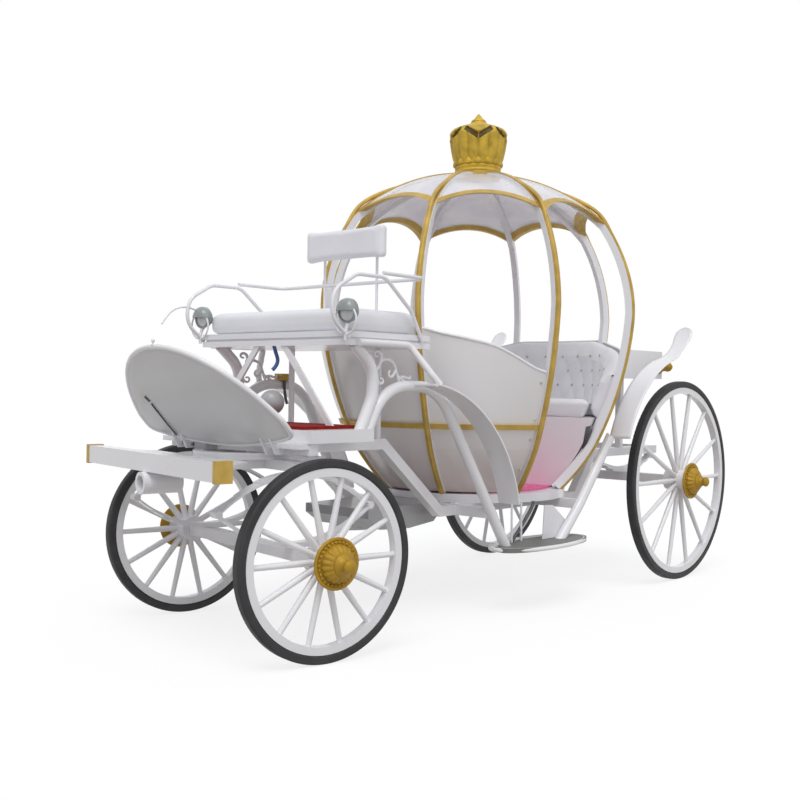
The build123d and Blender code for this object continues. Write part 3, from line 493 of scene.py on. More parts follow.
edges = (-FLOOR_HALF, FLOOR_HALF)
floor_mesh = grid_mesh("floor", [[(x, y, 0) for x in edges] for y in edges])
floor = bpy.data.objects.new("floor", floor_mesh)
bpy.context.scene.collection.objects.link(floor)
floor_material = bpy.data.materials.new("floor_white")
floor_material.use_nodes = True
tree = floor_material.node_tree
tree.nodes.clear()
seen = seen_directly(tree)
floor_color = tree.nodes.new("ShaderNodeMix")
floor_color.data_type = "RGBA"
floor_color.inputs[MIX_FIRST].default_value = FLOOR_BOUNCE
floor_color.inputs[MIX_SECOND].default_value = FLOOR_WHITE
diffuse = tree.nodes.new("ShaderNodeBsdfDiffuse")
glow = tree.nodes.new("ShaderNodeEmission")
glow.inputs["Strength"].default_value = FLOOR_GLOW
share = tree.nodes.new("ShaderNodeMath")
share.operation = "MULTIPLY"
share.inputs[1].default_value = FLOOR_GLOW_SHARE
mixed = tree.nodes.new("ShaderNodeMixShader")
output = tree.nodes.new("ShaderNodeOutputMaterial")
tree.links.new(seen, floor_color.inputs[0])
tree.links.new(floor_color.outputs[MIX_RESULT], diffuse.inputs["Color"])
tree.links.new(seen, share.inputs[0])
tree.links.new(share.outputs["Value"], mixed.inputs["Fac"])
tree.links.new(diffuse.outputs["BSDF"], mixed.inputs[1])
tree.links.new(glow.outputs["Emission"], mixed.inputs[2])
tree.links.new(mixed.outputs["Shader"], output.inputs["Surface"])
floor.data.materials.append(floor_material)

# Crown: a collar with leaves, upright lobes and a cap with pointed tongues over sunk slots, painted dark as shade
low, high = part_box("crown")
CROWN_AT = Matrix.Translation(((low.x + high.x) / 2, (low.y + high.y) / 2, low.z))
CROWN_TURN = math.radians(-52.5)
CROWN_TONGUES = 5
CROWN_LOBES = 15
CROWN_COLLAR = 0.046
CROWN_SLOT_LOW = 0.167
CROWN_SLOT_RISE = 0.062
CROWN_SLOT = 0.037
SLOT_FROM = 0.01
SLOT_TO = 0.90
SLOT_WALL = 2.5
SLOT_SINK = 0.16
SLOT_DARK = 0.35
GROOVE_DEPTH = 0.09
RIDGE_HEIGHT = 0.05
RIDGE_REACH = 0.12
TONGUE_SHARE = 0.98
CROWN_NECK = 0.300
CROWN_TIP = 0.345
CROWN_ROWS = 84
CROWN_STEPS = 240
LEAF_R = 0.128
LEAF_Z = 0.040
LEAF_LEAN = math.radians(12)
CROWN_PROFILE = ((0.0, 0.134), (0.046, 0.132), (0.085, 0.145), (0.130, 0.155), (0.184, 0.163),
                 (0.215, 0.166), (0.232, 0.161), (0.248, 0.147), (0.261, 0.120), (0.270, 0.090),
                 (0.279, 0.062), (0.292, 0.045), (0.310, 0.030), (0.330, 0.013), (CROWN_TIP, 0.0))


def crown_radius(z):
    """Radius of the plain turned crown at a height."""
    for (za, ra), (zb, rb) in zip(CROWN_PROFILE, CROWN_PROFILE[1:]):
        if z <= zb:
            return ra + (rb - ra) * (z - za) / (zb - za)
    return 0.0


def crown_zigzag(angle):
    """0 at the tongues' points, 1 half way between them."""
    turn = CROWN_TONGUES * (angle - CROWN_TURN) / (2 * math.pi)
    return abs(2 * (turn - math.floor(turn + 0.5)))


def crown_lobe(angle):
    """0 in the grooves, 1 on the lobes' crests."""
    return abs(math.sin(CROWN_LOBES * (angle - CROWN_TURN) / 2)) ** 0.6


def slot_depth(angle, z):
    """1 inside the dark slots, which slant up from both sides of each tongue's point."""
    zigzag = crown_zigzag(angle)
    middle = CROWN_SLOT_LOW + CROWN_SLOT_RISE * zigzag + CROWN_SLOT / 2
    inside = 1.0 - abs(z - middle) / (CROWN_SLOT / 2)
    along = min((zigzag - SLOT_FROM) / 0.05, (SLOT_TO - zigzag) / 0.08)
    return max(0.0, min(1.0, SLOT_WALL * inside, along))


def crown_relief(angle, z):
    """Radius of the cast skin as a share of its profile: lobes, tongues and slots."""
    slot_low = CROWN_SLOT_LOW + CROWN_SLOT_RISE * crown_zigzag(angle)
    over = min(1.0, max(0.0, (z - slot_low + 0.004) / 0.012))
    lobes = 1.0 - GROOVE_DEPTH * (1 - crown_lobe(angle)) * min(1.0, (z - CROWN_COLLAR) / 0.02)
    fading = max(0.0, 1 - (z - CROWN_SLOT_LOW) / RIDGE_REACH)
    tongue = TONGUE_SHARE + RIDGE_HEIGHT * (1 - crown_zigzag(angle)) ** 1.5 * fading
    return lobes * (1 - over) + tongue * over - SLOT_SINK * slot_depth(angle, z)


skin = []
skin_low = CROWN_COLLAR - 0.002
for angle in once_round(CROWN_STEPS):
    column = [(0.0, 0.0, skin_low)]
    for j in range(CROWN_ROWS + 1):
        z = skin_low + (CROWN_NECK - skin_low) * j / CROWN_ROWS
        r = crown_radius(z) * crown_relief(angle, z)
        column.append((r * math.cos(angle), r * math.sin(angle), z))
    column.append((0.0, 0.0, CROWN_NECK))
    skin.append(column)
crown_pieces = [
    grid_mesh("skin", skin, closed_u=True),
    lathe("knob", [(0.0, 0.286), (0.036, 0.290), (0.044, 0.297), (0.038, 0.306), (0.027, 0.314),
                   (0.016, 0.328), (0.006, 0.340), (0.0, CROWN_TIP)], 48),
    lathe("collar", [(0.0, 0.0), (0.129, 0.0), (0.133, 0.006), (0.132, 0.014), (0.126, 0.019),
                     (0.130, 0.025), (0.133, 0.034), (0.129, 0.043), (0.120, CROWN_COLLAR),
                     (0.0, CROWN_COLLAR)], 96),
]
crown_parts = [(piece, CROWN_AT) for piece in crown_pieces]
leaf = lathe("leaf", [(0.0, 0.0), (0.012, 0.003), (0.016, 0.012), (0.012, 0.026), (0.005, 0.038),
                      (0.0, 0.044)], 24)
leaf_shape = (Matrix.Translation((LEAF_R, 0, LEAF_Z)) @ Matrix.Rotation(LEAF_LEAN, 4, "Y")
              @ Matrix.Diagonal((0.8, 1.3, 0.9, 1)))
for angle in once_round(CROWN_LOBES):
    turn = Matrix.Rotation(CROWN_TURN + angle, 4, "Z")
    crown_parts.append((leaf, CROWN_AT @ turn @ leaf_shape))
crown = joined("crown_cast", crown_parts, CROWN_GOLD, ROOT)
# Faces deep in the slots take the painted shade instead of the gold
crown.data.materials.append(CROWN_SLOT_SHADE)
for face in crown.data.polygons:
    spot = face.center - CROWN_AT.translation
    if spot.xy.length > 0.05 and slot_depth(math.atan2(spot.y, spot.x), spot.z) > SLOT_DARK:
        face.material_index = 1
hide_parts("crown")


# Upholstery
PAD_LOW_Z = 0.986
PAD_UNDER_EDGE = 0.004
PAD_BACK_INSET = 0.048
PAD_INSET = 0.058
PAD_THICK = 0.064
PAD_ACROSS = 132
PAD_UP = 64
PAD_EDGE_Z = 1.4
PAD_HALF_ANGLE = 66.1
TUFT_ACROSS = 0.070
TUFT_UP = 0.088
TUFT_DEPTH = 0.008
TUFT_ROW_Z = 1.08
TUFT_LOW_Z = PAD_LOW_Z + 0.08
ARC_PER_RADIAN = 0.80
BUTTON_LOW_Z = 1.10
BUTTON_UNDER_EDGE = 0.045
BUTTON_FROM_END = 0.05


def tuft(across, along):
    """Depth of a diamond-tufted surface: 0 at the crests, more at buttons and folds."""
    u = across / TUFT_ACROSS + along / TUFT_UP
    v = across / TUFT_ACROSS - along / TUFT_UP
    crest = abs(math.sin(math.pi * u / 2)) ** 0.55 * abs(math.sin(math.pi * v / 2)) ** 0.55
    return TUFT_DEPTH * (1 - crest)


def pad_skin(first, last, middle):
    """Rows of points round the tufted pad, under the panels' swept edge; both ends round off."""
    rows = []
    for i in range(PAD_ACROSS + 1):
        t = first + (last - first) * i / PAD_ACROSS
        rise = panel_top(cabin_point(t, PAD_EDGE_Z).y) - PAD_UNDER_EDGE - PAD_LOW_Z
        end = min(1.0, 32 * min(i, PAD_ACROSS - i) / PAD_ACROSS) ** 0.5
        front = []
        behind = []
        for j in range(PAD_UP + 1):
            h = j / PAD_UP
            z = PAD_LOW_Z + rise * h
            puff = end * min(1.0, 5 * min(h, 1 - h)) ** 0.5
            dip = tuft((t - middle) * ARC_PER_RADIAN, z - TUFT_ROW_Z) if z > TUFT_LOW_Z else 0.0
            front.append(cabin_point(t, z, PAD_INSET + (PAD_THICK - dip) * puff))
            behind.append(cabin_point(t, z, PAD_BACK_INSET))
        rows.append(front + behind[::-1])
    return rows


def seat_back(name, node, toward):
    """Tufted pad inside the rear (1) or front (-1) of the cabin's oval, with its buttons."""
    middle = toward * math.pi / 2
    first = middle - math.radians(PAD_HALF_ANGLE)
    last = middle + math.radians(PAD_HALF_ANGLE)
    skin = grid_mesh(name, pad_skin(first, last, middle), closed_v=True)
    pad = as_object(name, skin, LEATHER, ROOT)
    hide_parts(node)
    button = lathe("button", [(0.0, 0.005), (0.005, 0.0045), (0.008, 0.0025), (0.009, 0.0),
                              (0.0, -0.001)], 14)
    buttons = []
    for u in range(-16, 22):
        for v in range(-18, 19):
            t = middle + (u + v) * TUFT_ACROSS / ARC_PER_RADIAN
            z = TUFT_ROW_Z + (u - v) * TUFT_UP
            if not first + BUTTON_FROM_END < t < last - BUTTON_FROM_END or z <= BUTTON_LOW_Z:
                continue
            if z > panel_top(cabin_point(t, PAD_EDGE_Z).y) - BUTTON_UNDER_EDGE:
                continue
            spot = cabin_point(t, z, PAD_INSET + PAD_THICK - TUFT_DEPTH + 0.001)
            inward = Vector((0, BODY_Y, z)) - spot
            buttons.append((button, Matrix.Translation(spot) @ facing(inward)))
    joined(name + "_buttons", buttons, BUTTON, ROOT)


seat_back("rear_back_tufted", "rear_back", 1)
seat_back("front_back_tufted", "front_back", -1)

# Cushions: pads a little smaller than their solids, blown up as cloth
CLOTH_FRAMES = 14
CLOTH_PRESSURE = 3.0
CLOTH_SHRINK = 0.006


def inflated(name, node, voxel, cap, rise=0.0):
    """Cushion from a CAD solid: remeshed, swelled as cloth and held within a cap."""
    mesh = nodes[node].data.copy()
    body = bpy.data.objects.new(name, mesh)
    bpy.context.scene.collection.objects.link(body)
    low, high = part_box(node)
    middle = (low + high) / 2
    scale = Vector([(h - l - 2 * CLOTH_SHRINK) / (h - l) for l, h in zip(low, high)])
    for vertex in mesh.vertices:
        vertex.co = middle + (vertex.co - middle) * scale
        vertex.co.z += rise * (vertex.co.z - low.z) / (high.z - low.z)
    remesh = body.modifiers.new("remesh", "REMESH")
    remesh.mode = "VOXEL"
    remesh.voxel_size = voxel
    mesh = baked(body)
    rest = [v.co.copy() for v in mesh.vertices]
    cloth = body.modifiers.new("cloth", "CLOTH")
    cloth.settings.use_pressure = True
    cloth.settings.uniform_pressure_force = CLOTH_PRESSURE
    cloth.settings.effector_weights.gravity = 0.0
    cloth.settings.quality = 5
    cloth.settings.tension_stiffness = 20
    cloth.settings.bending_stiffness = 2
    scene = bpy.context.scene
    for f in range(1, CLOTH_FRAMES + 1):
        scene.frame_set(f)
    mesh = baked(body)
    scene.frame_set(1)
    for vertex, start in zip(mesh.vertices, rest):
        move = vertex.co - start
        if move.length > cap:
            vertex.co = start + move * (cap / move.length)
    mesh.materials.clear()
    mesh.materials.append(LEATHER)
    mesh.shade_smooth()
    subdivision = body.modifiers.new("subdivision", "SUBSURF")
    subdivision.levels = 1
    subdivision.render_levels = 1
    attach(body, ROOT)
    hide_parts(node)


def baked(mesh_object):
    """The object with its modifiers applied to its mesh."""
    bpy.context.view_layer.update()
    shown = mesh_object.evaluated_get(bpy.context.evaluated_depsgraph_get())
    mesh = bpy.data.meshes.new_from_object(shown)
    mesh_object.modifiers.clear()
    mesh_object.data = mesh
    return mesh


inflated("driver_cushion_pad", "driver_cushion", 0.012, 0.010, rise=0.020)
inflated("driver_backrest_pad", "driver_backrest", 0.009, 0.008)
inflated("rear_cushion_pad", "rear_cushion", 0.014, 0.012)
inflated("front_cushion_pad", "front_cushion", 0.014, 0.012)


# Rolled edge on the panels' swept tops
for end_name, middle in (("rear", 90), ("front", -90)):
    points = []
    for share in shares(40):
        t = math.radians(middle - 66 + 132 * share)
        # The oval's width goes with the height, so the height is taken twice
        z = panel_top(cabin_point(t, 1.3).y)
        z = panel_top(cabin_point(t, z).y)
        points.append(cabin_point(t, z, PANEL_INSET + WALL / 2))
    wire(f"panel_edge_{end_name}", points, 0.0075, WHITE, ROOT)

# Half-round gold moulding on the ribs, and piping where the rear ribs meet the seat
RIB_FOOT = 0.586
RIB_HEAD = 2.340
MOULDING_R = 0.0105
PIPING_R = 0.013
PIPING_LENGTH = 0.620
for k in range(8):
    t = math.radians(22.5 + 45 * k)
    points = [cabin_point(t, RIB_HEAD + (RIB_FOOT - RIB_HEAD) * share, -0.005) for share in shares(22)]
    wire(f"rib_moulding_{k}", points, MOULDING_R, GOLD, ROOT)
bench_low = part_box("rear_bench")[0]
for side_name, degrees in (("left", 24.6), ("right", 155.4)):
    t = math.radians(degrees)
    points = [cabin_point(t, bench_low.z + PIPING_LENGTH * share, 0.048) for share in shares(14)]
    wire(f"seat_piping_{side_name}", points, PIPING_R, WHITE, ROOT)

# Painted shade: dark sheets in the openings at both ends of the rear bench's front
HOLE_MIDDLE = (0.592, 0.885)
HOLE_FRONT = 0.0018
HOLE_BACK = 0.0003
BENCH_HOLE = ((0.585, 0.935), (0.628, 0.945), (0.625, 0.910), (0.596, 0.844), (0.562, 0.809),
              (0.578, 0.898))
holes = []
for sign in (1, -1):
    rows = []
    for off, line in ((HOLE_FRONT, [HOLE_MIDDLE] * 6), (HOLE_FRONT, BENCH_HOLE),
                      (HOLE_BACK, BENCH_HOLE), (HOLE_BACK, [HOLE_MIDDLE] * 6)):
        rows.append([(sign * x, bench_low.y - off, z) for x, z in line])
    holes.append(grid_mesh("hole", rows, closed_v=True))
joined("bench_holes", [(hole, Matrix()) for hole in holes], DARK, ROOT)

# Dash: a thin oval board with a rolled edge, a release rod, hinge lug and latch below
DASH_FOOT = Vector((0, -1.5346, 0.8735))
DASH_TILT = math.radians(46.5)
DASH_HALF = 0.490
DASH_OVAL = (0.525, 0.644, -0.071)
DASH_LENGTH = DASH_OVAL[1] + DASH_OVAL[2]
DASH_BOW = 0.075
DASH_CENTRE = 0.27
DASH_THICK = 0.016
DASH_BULGE = 0.006
DASH_NORMAL = Vector((0, math.sin(DASH_TILT), math.cos(DASH_TILT)))
DASH_UP = Vector((0, -math.cos(DASH_TILT), math.sin(DASH_TILT)))


def on_dash(x, length, off=0.0):
    """Place on the dash: sideways, up along it from its foot, and off its face."""
    return DASH_FOOT + Vector((x, 0, 0)) + DASH_UP * length + DASH_NORMAL * off


def dash_outline(steps=30):
    """Bowed foot, rounded corners and an oval top, once round."""
    wide, tall, centre = DASH_OVAL
    half = [(0.46 * i / 12, DASH_BOW * (0.46 * i / 12 / DASH_HALF) ** 2) for i in range(13)]
    half += [(0.478, 0.078), (0.487, 0.093), (DASH_HALF, 0.120)]
    start = math.asin((0.165 - centre) / tall)
    for i in range(steps + 1):
        angle = start + (math.pi / 2 - start) * i / steps
        half.append((wide * math.cos(angle), centre + tall * math.sin(angle)))
    return half + [(-x, d) for x, d in half[-2:0:-1]]


rings = []
for share, off in ((0.0, 1), (0.5, 1), (0.9, 1), (0.985, 1), (1.0, 0.5), (1.0, -0.5), (0.985, -1),
                   (0.9, -1), (0.5, -1), (0.0, -1)):
    depth = off * DASH_THICK / 2 - DASH_BULGE * (1 - share ** 2)
    rings.append([on_dash(x * share, DASH_CENTRE + (d - DASH_CENTRE) * share, depth)
                  for x, d in dash_outline()])
board_mesh = grid_mesh("dash_board", rings, closed_v=True)
# The board wears the grey painted shade over its white
board = as_object("dash_board", board_mesh, DASH_SHADE, ROOT)
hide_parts("dash")
wire("dash_edge", [on_dash(x, d) for x, d in dash_outline()], 0.011, WHITE, ROOT, closed=True, order=3)
finial = lathe("finial", [(0.0, 0.0), (0.012, 0.0), (0.013, 0.006), (0.007, 0.012), (0.006, 0.020),
                          (0.011, 0.026), (0.012, 0.034), (0.007, 0.042), (0.0, 0.044)], 28)
tip = Matrix.Translation(on_dash(0, DASH_LENGTH + 0.006)) @ Matrix.Scale(0.65, 4)
joined("dash_finial", [(finial, tip)], WHITE, ROOT)
underside = -DASH_THICK / 2 - 0.007
wire("dash_rod", [on_dash(-0.309, 0.250, underside), on_dash(-0.306, 0.150, underside - 0.003),
                  on_dash(-0.302, 0.052, underside)], 0.0035, DARK, ROOT)
# Painted shade: a dark bar in the slot of the dash board
wire("dash_slot", [on_dash(-0.321, 0.292, underside + 0.005), on_dash(-0.316, 0.278, underside + 0.005),
                   on_dash(-0.312, 0.262, underside + 0.005)], 0.008, DARK, ROOT)


def block(low, high):
    """Closed box between two corners."""
    (x0, y0, z0), (x1, y1, z1) = low, high
    rows = [[(x0, y0, z), (x1, y0, z), (x1, y1, z), (x0, y1, z)] for z in (z0, z1)]
    middle = ((x0 + x1) / 2, (y0 + y1) / 2)
    rows = [[(*middle, z0)] * 4] + rows + [[(*middle, z1)] * 4]
    return grid_mesh("block", rows, closed_v=True)


def plate(line, x0, x1):
    """Flat plate from a side view (y, z), between two places across."""
    y = sum(p[0] for p in line) / len(line)
    z = sum(p[1] for p in line) / len(line)
    rows = [[(x0, y, z)] * len(line)] + [[(x, *p) for p in line] for x in (x0, x1)]
    return grid_mesh("plate", rows + [[(x1, y, z)] * len(line)], closed_v=True)


def flat(name, meshes, material):
    """Sharp-edged pieces in one object on the carriage."""
    made = joined(name, [(mesh, Matrix()) for mesh in meshes], material, ROOT)
    for face in made.data.polygons:
        face.use_smooth = False
    return made


platform_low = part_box("driver_platform")[0]
LUG = ((-1.585, 0.915), (-1.512, 0.868), (-1.492, 0.842), (-1.545, 0.842))
lugs = [plate(LUG, sign * x, sign * (x + 0.012)) for x in (0.330, 0.270) for sign in (-1, 1)]
lugs = flat("dash_lugs", lugs, WHITE)
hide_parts("dash_brackets")
flat("dash_latch", [block((-0.215, -1.545, 0.842), (-0.135, -1.470, 0.872)),
                    block((-0.205, -1.540, 0.872), (-0.150, -1.500, 0.884))], SILVER)
COIL_R = 0.008
COIL_TURNS = 59 / 8
spring = []
for share in shares(59):
    turn = 2 * math.pi * COIL_TURNS * share
    spring.append((-0.325 + 0.11 * share, -1.530 + 0.03 * share + COIL_R * math.cos(turn),
                   0.868 - 0.012 * share + COIL_R * math.sin(turn)))
wire("dash_spring", spring, 0.0022, DARK, ROOT)
flat("dash_ledge", [block((-0.470, DASH_FOOT.y, DASH_FOOT.z - 0.004),
                          (0.470, platform_low.y + 0.030, platform_low.z - 0.0006))], WHITE)

# Lamps on the front corners of the box seat, hooded over the top half
LAMP_X = 0.497
LAMP_Y = -1.245
LAMP_Z = 1.462
LAMP_R = 0.050
LAMP_HOOP_R = 0.064
lamp_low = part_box("lamps")[0]
housing = lathe("housing", [(0.0, -0.004), (0.018, -0.002), (0.034, 0.006), (0.044, 0.018), (0.049, 0.032),
                            (LAMP_R, 0.040), (0.053, 0.042), (0.054, 0.046), (0.052, 0.050),
                            (0.045, 0.050), (0.043, 0.044), (0.0, 0.044)], 48)
lens = lathe("lens", [(0.0, 0.054), (0.014, 0.0535), (0.028, 0.051), (0.040, 0.047), (0.043, 0.045)], 48)
HOOD_PROFILE = ((0.0545, 0.030), (0.0555, 0.050), (0.050, 0.066), (0.036, 0.078), (0.018, 0.085),
                (0.0, 0.087), (0.0, 0.085), (0.017, 0.083), (0.034, 0.076), (0.047, 0.064),
                (0.0525, 0.050), (0.052, 0.030))
hood = []
for share in shares(32):
    angle = math.pi * share
    hood.append([(r * math.cos(angle), r * math.sin(angle), d) for r, d in HOOD_PROFILE])
hood = grid_mesh("hood", hood, closed_v=True)
for side_name, sign in (("left", 1), ("right", -1)):
    place = Matrix.Translation((sign * LAMP_X, LAMP_Y, LAMP_Z))
    turn = place @ Matrix.Rotation(math.radians(90), 4, "X")
    cup = joined(f"lamp_{side_name}", [(housing, turn), (hood, turn)], LAMP_GREY, ROOT)
    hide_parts("lamps")
    joined(f"lamp_lens_{side_name}", [(lens, turn)], GLASS, ROOT)
    wire(f"lamp_stem_{side_name}", [(sign * 0.497, -1.299, 1.335), (sign * 0.500, -1.303, 1.370),
                                    (sign * 0.500, -1.296, 1.400), (sign * 0.497, -1.280, 1.416)],
         0.008, WHITE, ROOT)
    hoop = [(sign * 0.500 + LAMP_HOOP_R * math.sin(angle), lamp_low.y + 0.030,
             LAMP_Z - 0.040 - LAMP_HOOP_R * math.cos(angle)) for angle in once_round(24)]
    wire(f"lamp_hoop_{side_name}", hoop, 0.0045, WHITE, ROOT, closed=True)

# Thin rod that rises beside the far arm and hooks forward
REIN_ROD = ((-1.067, 1.272), (-1.100, 1.311), (-1.153, 1.385), (-1.218, 1.449), (-1.290, 1.491),
            (-1.360, 1.511), (-1.420, 1.510), (-1.480, 1.480), (-1.520, 1.420))
wire("rein_rod", [(-0.512, y, z) for y, z in REIN_ROD], 0.0045, WHITE, ROOT)

# Brake hose, block and cylinder under the box seat
seat_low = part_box("seat_base")[0]
mat_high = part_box("floor_mat")[1]
ARCH_TOP = 1.168
BALL_R = 0.058
brake_block = block((-0.485, -0.822, ARCH_TOP - 0.006), (-0.415, -0.745, ARCH_TOP + 0.030))
flat("brake_block", [brake_block], GOLD)
ball = lathe("ball", ball_profile(BALL_R, range(-80, 81, 10)), 40)
stand = lathe("stand", [(0.0, 0.0), (0.034, 0.0), (0.034, 0.006), (0.012, 0.010), (0.012, 0.050),
                        (0.0, 0.050)], 28)
stand_at = Matrix.Translation((0.0, -1.270, mat_high.z))
joined("brake_cylinder", [(ball, Matrix.Translation((0.0, 0.0, 0.094)) @ stand_at), (stand, stand_at)],
       SILVER, ROOT)
wire("brake_hose", [(-0.430, -0.800, ARCH_TOP - 0.004), (-0.428, -0.805, 1.120),
                    (-0.432, -0.798, 1.080), (-0.424, -0.786, 1.040)], 0.008, DARK, ROOT)
BLUE_HOSE = ((0.000, -1.262, 0.0), (0.000, -1.250, -0.035), (0.006, -1.232, -0.063),
             (0.000, -1.250, -0.096), (-0.010, -1.262, -0.110))
wire("blue_hose", [(x, y, seat_low.z + z) for x, y, z in BLUE_HOSE], 0.009, HOSE, ROOT)

# Scrolls between the seat leg and the side arch
SCROLL_X = 0.461
SCROLLS = (
    ((-1.031, 1.258), (-1.025, 1.277), (-1.040, 1.296), (-1.066, 1.297), (-1.078, 1.285),
     (-1.070, 1.273), (-1.053, 1.273)),
    ((-1.032, 1.261), (-1.037, 1.238), (-1.057, 1.217), (-1.068, 1.197), (-1.060, 1.172),
     (-1.043, 1.151), (-1.021, 1.150), (-1.010, 1.165), (-1.023, 1.179), (-1.039, 1.173)),
    ((-1.031, 1.253), (-1.003, 1.266), (-0.964, 1.259), (-0.939, 1.240), (-0.929, 1.212),
     (-0.918, 1.186), (-0.883, 1.170), (-0.843, 1.158), (-0.792, 1.153)),
    ((-0.931, 1.214), (-0.943, 1.192), (-0.962, 1.179), (-0.978, 1.186), (-0.982, 1.203),
     (-0.969, 1.211)),
    ((-0.921, 1.192), (-0.913, 1.170), (-0.898, 1.153)),
    ((-0.898, 1.181), (-0.873, 1.188), (-0.848, 1.174), (-0.823, 1.178), (-0.831, 1.189)),
)
for side_name, sign in (("left", 1), ("right", -1)):
    for index, line in enumerate(SCROLLS):
        points = [(sign * SCROLL_X, y, z) for y, z in line]
        width = [1.0 - 0.45 * share for share in shares(len(line) - 1)]
        wire(f"scroll_{side_name}_{index}", points, 0.0085, WHITE, ROOT, taper=width)

# Screws that hold the side panels
screw = lathe("screw", [(0.0, 0.004), (0.005, 0.0035), (0.008, 0.0015), (0.0085, 0.0), (0.0, -0.001)], 16)
screws = []
for sign_y in (1, -1):
    for sign_x in (1, -1):
        for offset, z in ((0.050, 1.170), (0.046, 0.985), (0.050, 0.880), (0.054, 0.720)):
            t = sign_y * (math.radians(22.5) + offset)
            if sign_x < 0:
                t = math.pi - t
            spot = cabin_point(t, z, PANEL_INSET)
            out_way = Vector((spot.x, (spot.y - BODY_Y) * 0.8, 0.0)).normalized()
            screws.append((screw, Matrix.Translation(spot) @ facing(out_way)))
joined("panel_screws", screws, BUTTON, ROOT)

# Tail lamps on the boot
tail = lathe("tail", [(0.0, 0.0), (0.030, 0.0), (0.034, 0.006), (0.030, 0.012), (0.022, 0.016),
                      (0.020, 0.040), (0.024, 0.046), (0.020, 0.060), (0.008, 0.070), (0.0, 0.071)], 40)
boot_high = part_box("rear_boot")[1]
for side_name, sign in (("left", 1), ("right", -1)):
    place = Matrix.Translation((sign * boot_high.x, boot_high.y - 0.045, 1.290))
    turn = Matrix.Rotation(sign * math.radians(90), 4, "Y")
    sized = Matrix.Scale(1.3, 4)
    joined(f"tail_lamp_{side_name}", [(tail, place @ turn @ sized)], CAST_GOLD, ROOT)

# Hub caps: a grooved flange with beads, a fluted dome and a waisted cone with a knob
HUB_BASE = 0.0753
BEADS = 30
BEAD_R = 0.0065
BEAD_RING = (0.0885, 0.011)
FLUTES = 18
FLUTE_DEPTH = 0.07
FLUTE_LOW = 0.018
FLUTE_HIGH = 0.053
RIM_PROFILE = ((0.0, 0.0), (0.104, 0.0), (0.108, 0.003), (0.108, 0.010), (0.104, 0.013),
               (0.097, 0.013), (0.095, 0.010), (0.082, 0.010), (0.080, 0.014), (0.0, 0.014))
DOME_PROFILE = ((0.0, 0.012), (0.080, 0.012), (0.081, 0.020), (0.077, 0.030), (0.069, 0.040),
                (0.058, 0.049), (0.048, 0.054), (0.0, 0.055))
CONE_PROFILE = ((0.0, 0.050), (0.045, 0.052), (0.047, 0.057), (0.043, 0.061), (0.036, 0.066),
                (0.029, 0.074), (0.025, 0.084), (0.024, 0.090), (0.028, 0.095), (0.029, 0.102),
                (0.026, 0.108), (0.020, 0.113), (0.011, 0.117), (0.0, 0.118))


def fluted(angle, z):
    """Share of the dome's radius that its flutes leave."""
    if not FLUTE_LOW < z < FLUTE_HIGH:
        return 1.0
    return 1.0 - FLUTE_DEPTH * abs(math.cos(FLUTES * angle / 2)) ** 3


hub_rim = lathe("hub_rim", RIM_PROFILE, 72)
hub_dome = lathe("hub_dome", DOME_PROFILE, 180, fluted)
hub_cone = lathe("hub_cone", CONE_PROFILE, 48)
bead = lathe("bead", ball_profile(BEAD_R, (-60, -30, 0, 30, 60)), 12)
for joint in frame["joints"]:
    if not joint.get("continuous"):
        continue
    wheel = joint["child"]
    end = wheel.replace("_wheel_body", "")
    axis = Vector(joint["axis"]) * (1 if "left" in wheel else -1)
    at = Matrix.Translation(Vector(joint["pos_m"]) + axis * HUB_BASE) @ facing(axis)
    pieces = [(hub_rim, at), (hub_dome, at), (hub_cone, at)]
    ring_r, ring_z = BEAD_RING
    for angle in once_round(BEADS):
        spot = Matrix.Translation((ring_r * math.cos(angle), ring_r * math.sin(angle), ring_z))
        pieces.append((bead, at @ spot))
    cap = joined(f"{end}_hub_cap_cast", pieces, CAST_GOLD, wheel)
    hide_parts(f"{end}_hub_cap")

# Rear mudguards: narrowed at the neck and rounded like a spoon at the top
GUARD_X = 0.692
GUARD_LINE = ((0.7034, 0.872), (0.8934, 1.150), (1.1934, 1.318), (1.3634, 1.395), (1.4734, 1.530))
GUARD_WIDTHS = ((0.0, 0.130), (0.45, 0.130), (0.60, 0.112), (0.72, 0.090), (0.82, 0.098),
                (0.90, 0.112), (0.955, 0.104), (0.985, 0.070), (1.0, 0.0))
GUARD_THICK = 0.007
GUARD_DISH = 0.004
GUARD_STEPS = 80


def arc_points(a, b, c, steps):
    """Points on the circle through three points of a side view, from the first to the last."""
    ax, ay, bx, by, cx, cy = *a, *b, *c
    d = 2 * (ax * (by - cy) + bx * (cy - ay) + cx * (ay - by))
    a_square = ax * ax + ay * ay
    b_square = bx * bx + by * by
    c_square = cx * cx + cy * cy
    ux = (a_square * (by - cy) + b_square * (cy - ay) + c_square * (ay - by)) / d
    uy = (a_square * (cx - bx) + b_square * (ax - cx) + c_square * (bx - ax)) / d
    first = math.atan2(ay - uy, ax - ux)
    turn = (math.atan2(cy - uy, cx - ux) - first + math.pi) % (2 * math.pi) - math.pi
    r = math.hypot(ax - ux, ay - uy)
    angles = [first + turn * share for share in shares(steps)]
    return [(ux + r * math.cos(angle), uy + r * math.sin(angle)) for angle in angles]


def between(table, at):
    """Smoothly eased value of a table at a place."""
    for (a, va), (b, vb) in zip(table, table[1:]):
        if at <= b:
            u = (at - a) / (b - a)
            return va + (vb - va) * u * u * (3 - 2 * u)
    return table[-1][1]


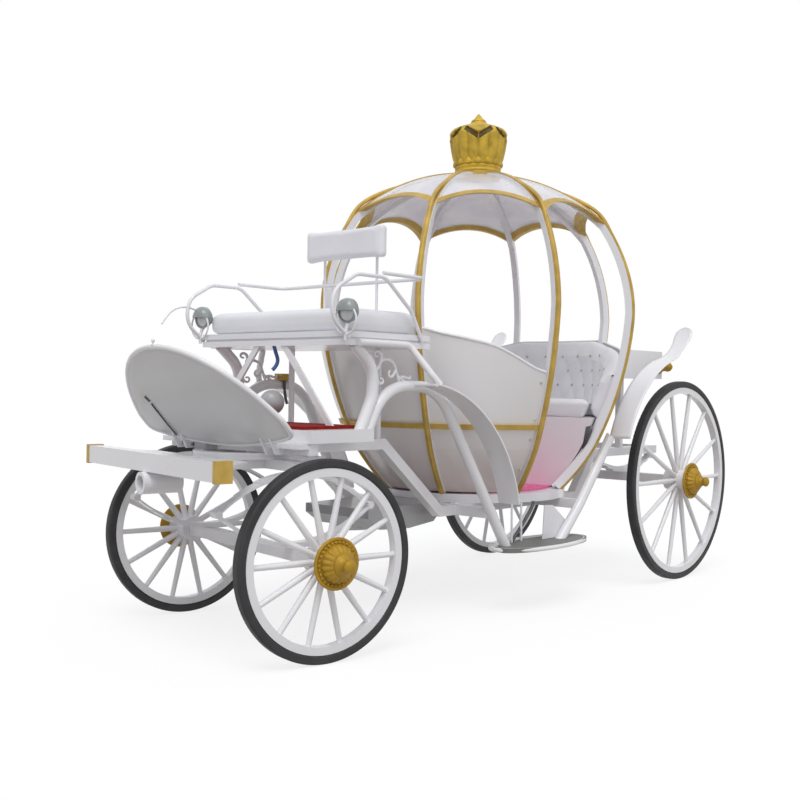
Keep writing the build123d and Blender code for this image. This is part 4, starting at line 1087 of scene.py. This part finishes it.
half_way = GUARD_STEPS // 2
guard_path = arc_points(*GUARD_LINE[:3], half_way) + arc_points(*GUARD_LINE[2:], half_way)[1:]
for side_name, sign in (("left", 1), ("right", -1)):
    rows = []
    for i, (y, z) in enumerate(guard_path):
        ahead = guard_path[min(i + 1, GUARD_STEPS)]
        behind = guard_path[max(i - 1, 0)]
        run = Vector((0, ahead[0] - behind[0], ahead[1] - behind[1])).normalized()
        upward = Vector((0, -run.z, run.y))
        half = between(GUARD_WIDTHS, i / GUARD_STEPS) / 2
        row = []
        for face in (1, -1):
            for j in range(9):
                u = (2 * j / 8 - 1) * face
                off = face * (1 - 0.5 * u ** 6) * GUARD_THICK / 2 - GUARD_DISH * (1 - u * u)
                row.append(Vector((sign * GUARD_X + half * u, y, z)) + upward * off)
        rows.append(row)
    foot = sum(rows[0], Vector()) / len(rows[0])
    rows = [[foot] * len(rows[0])] + rows
    guard_mesh = grid_mesh("guard", rows, closed_v=True)
    guard = as_object(f"rear_mudguard_{side_name}", guard_mesh, WHITE, ROOT)
    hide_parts("rear_mudguards")

# Steps: white rims, thin posts, a damper and a plain plate, standing for the perforated one, beside the rear tube
step_low, step_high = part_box("step_boards")
STEP_X = 0.560
STEP_RIM_R = 0.0115
POST_X = 0.505
POST_R = 0.006
DAMPER_X = 0.497
DAMPER_LINE = ((0.150, 0.542), (0.146, 0.510), (0.050, 0.424), (-0.045, 0.345))
DAMPER_R = 0.009
STEP_HALF = step_high.x - STEP_X
STEP_Y = (step_low.y + step_high.y) / 2
STEP_REACH = (step_high.y - step_low.y) / 2
SIDE_PLATE = ((0.164, 0.525), (0.241, 0.520), (0.371, 0.429), (0.276, 0.345), (0.151, 0.345))
for side_name, sign in (("left", 1), ("right", -1)):
    rim = [(sign * STEP_X + STEP_HALF * math.cos(angle), STEP_Y + STEP_REACH * math.sin(angle),
            (step_low.z + step_high.z) / 2) for angle in once_round(48)]
    wire(f"step_rim_{side_name}", rim, STEP_RIM_R, WHITE, ROOT, closed=True)
    for y, name in ((0.025, "post"), (-0.060, "front_post")):
        x = sign * POST_X
        post = [(x, y, 0.542), (x, y + 0.002, 0.440), (x, y + 0.004, 0.343)]
        wire(f"step_{name}_{side_name}", post, POST_R, WHITE, ROOT)
    wire(f"step_damper_{side_name}", [(sign * DAMPER_X, y, z) for y, z in DAMPER_LINE],
         DAMPER_R, DARK, ROOT)
    flat(f"step_plate_{side_name}", [plate(SIDE_PLATE, sign * 0.553, sign * 0.559)], WHITE)
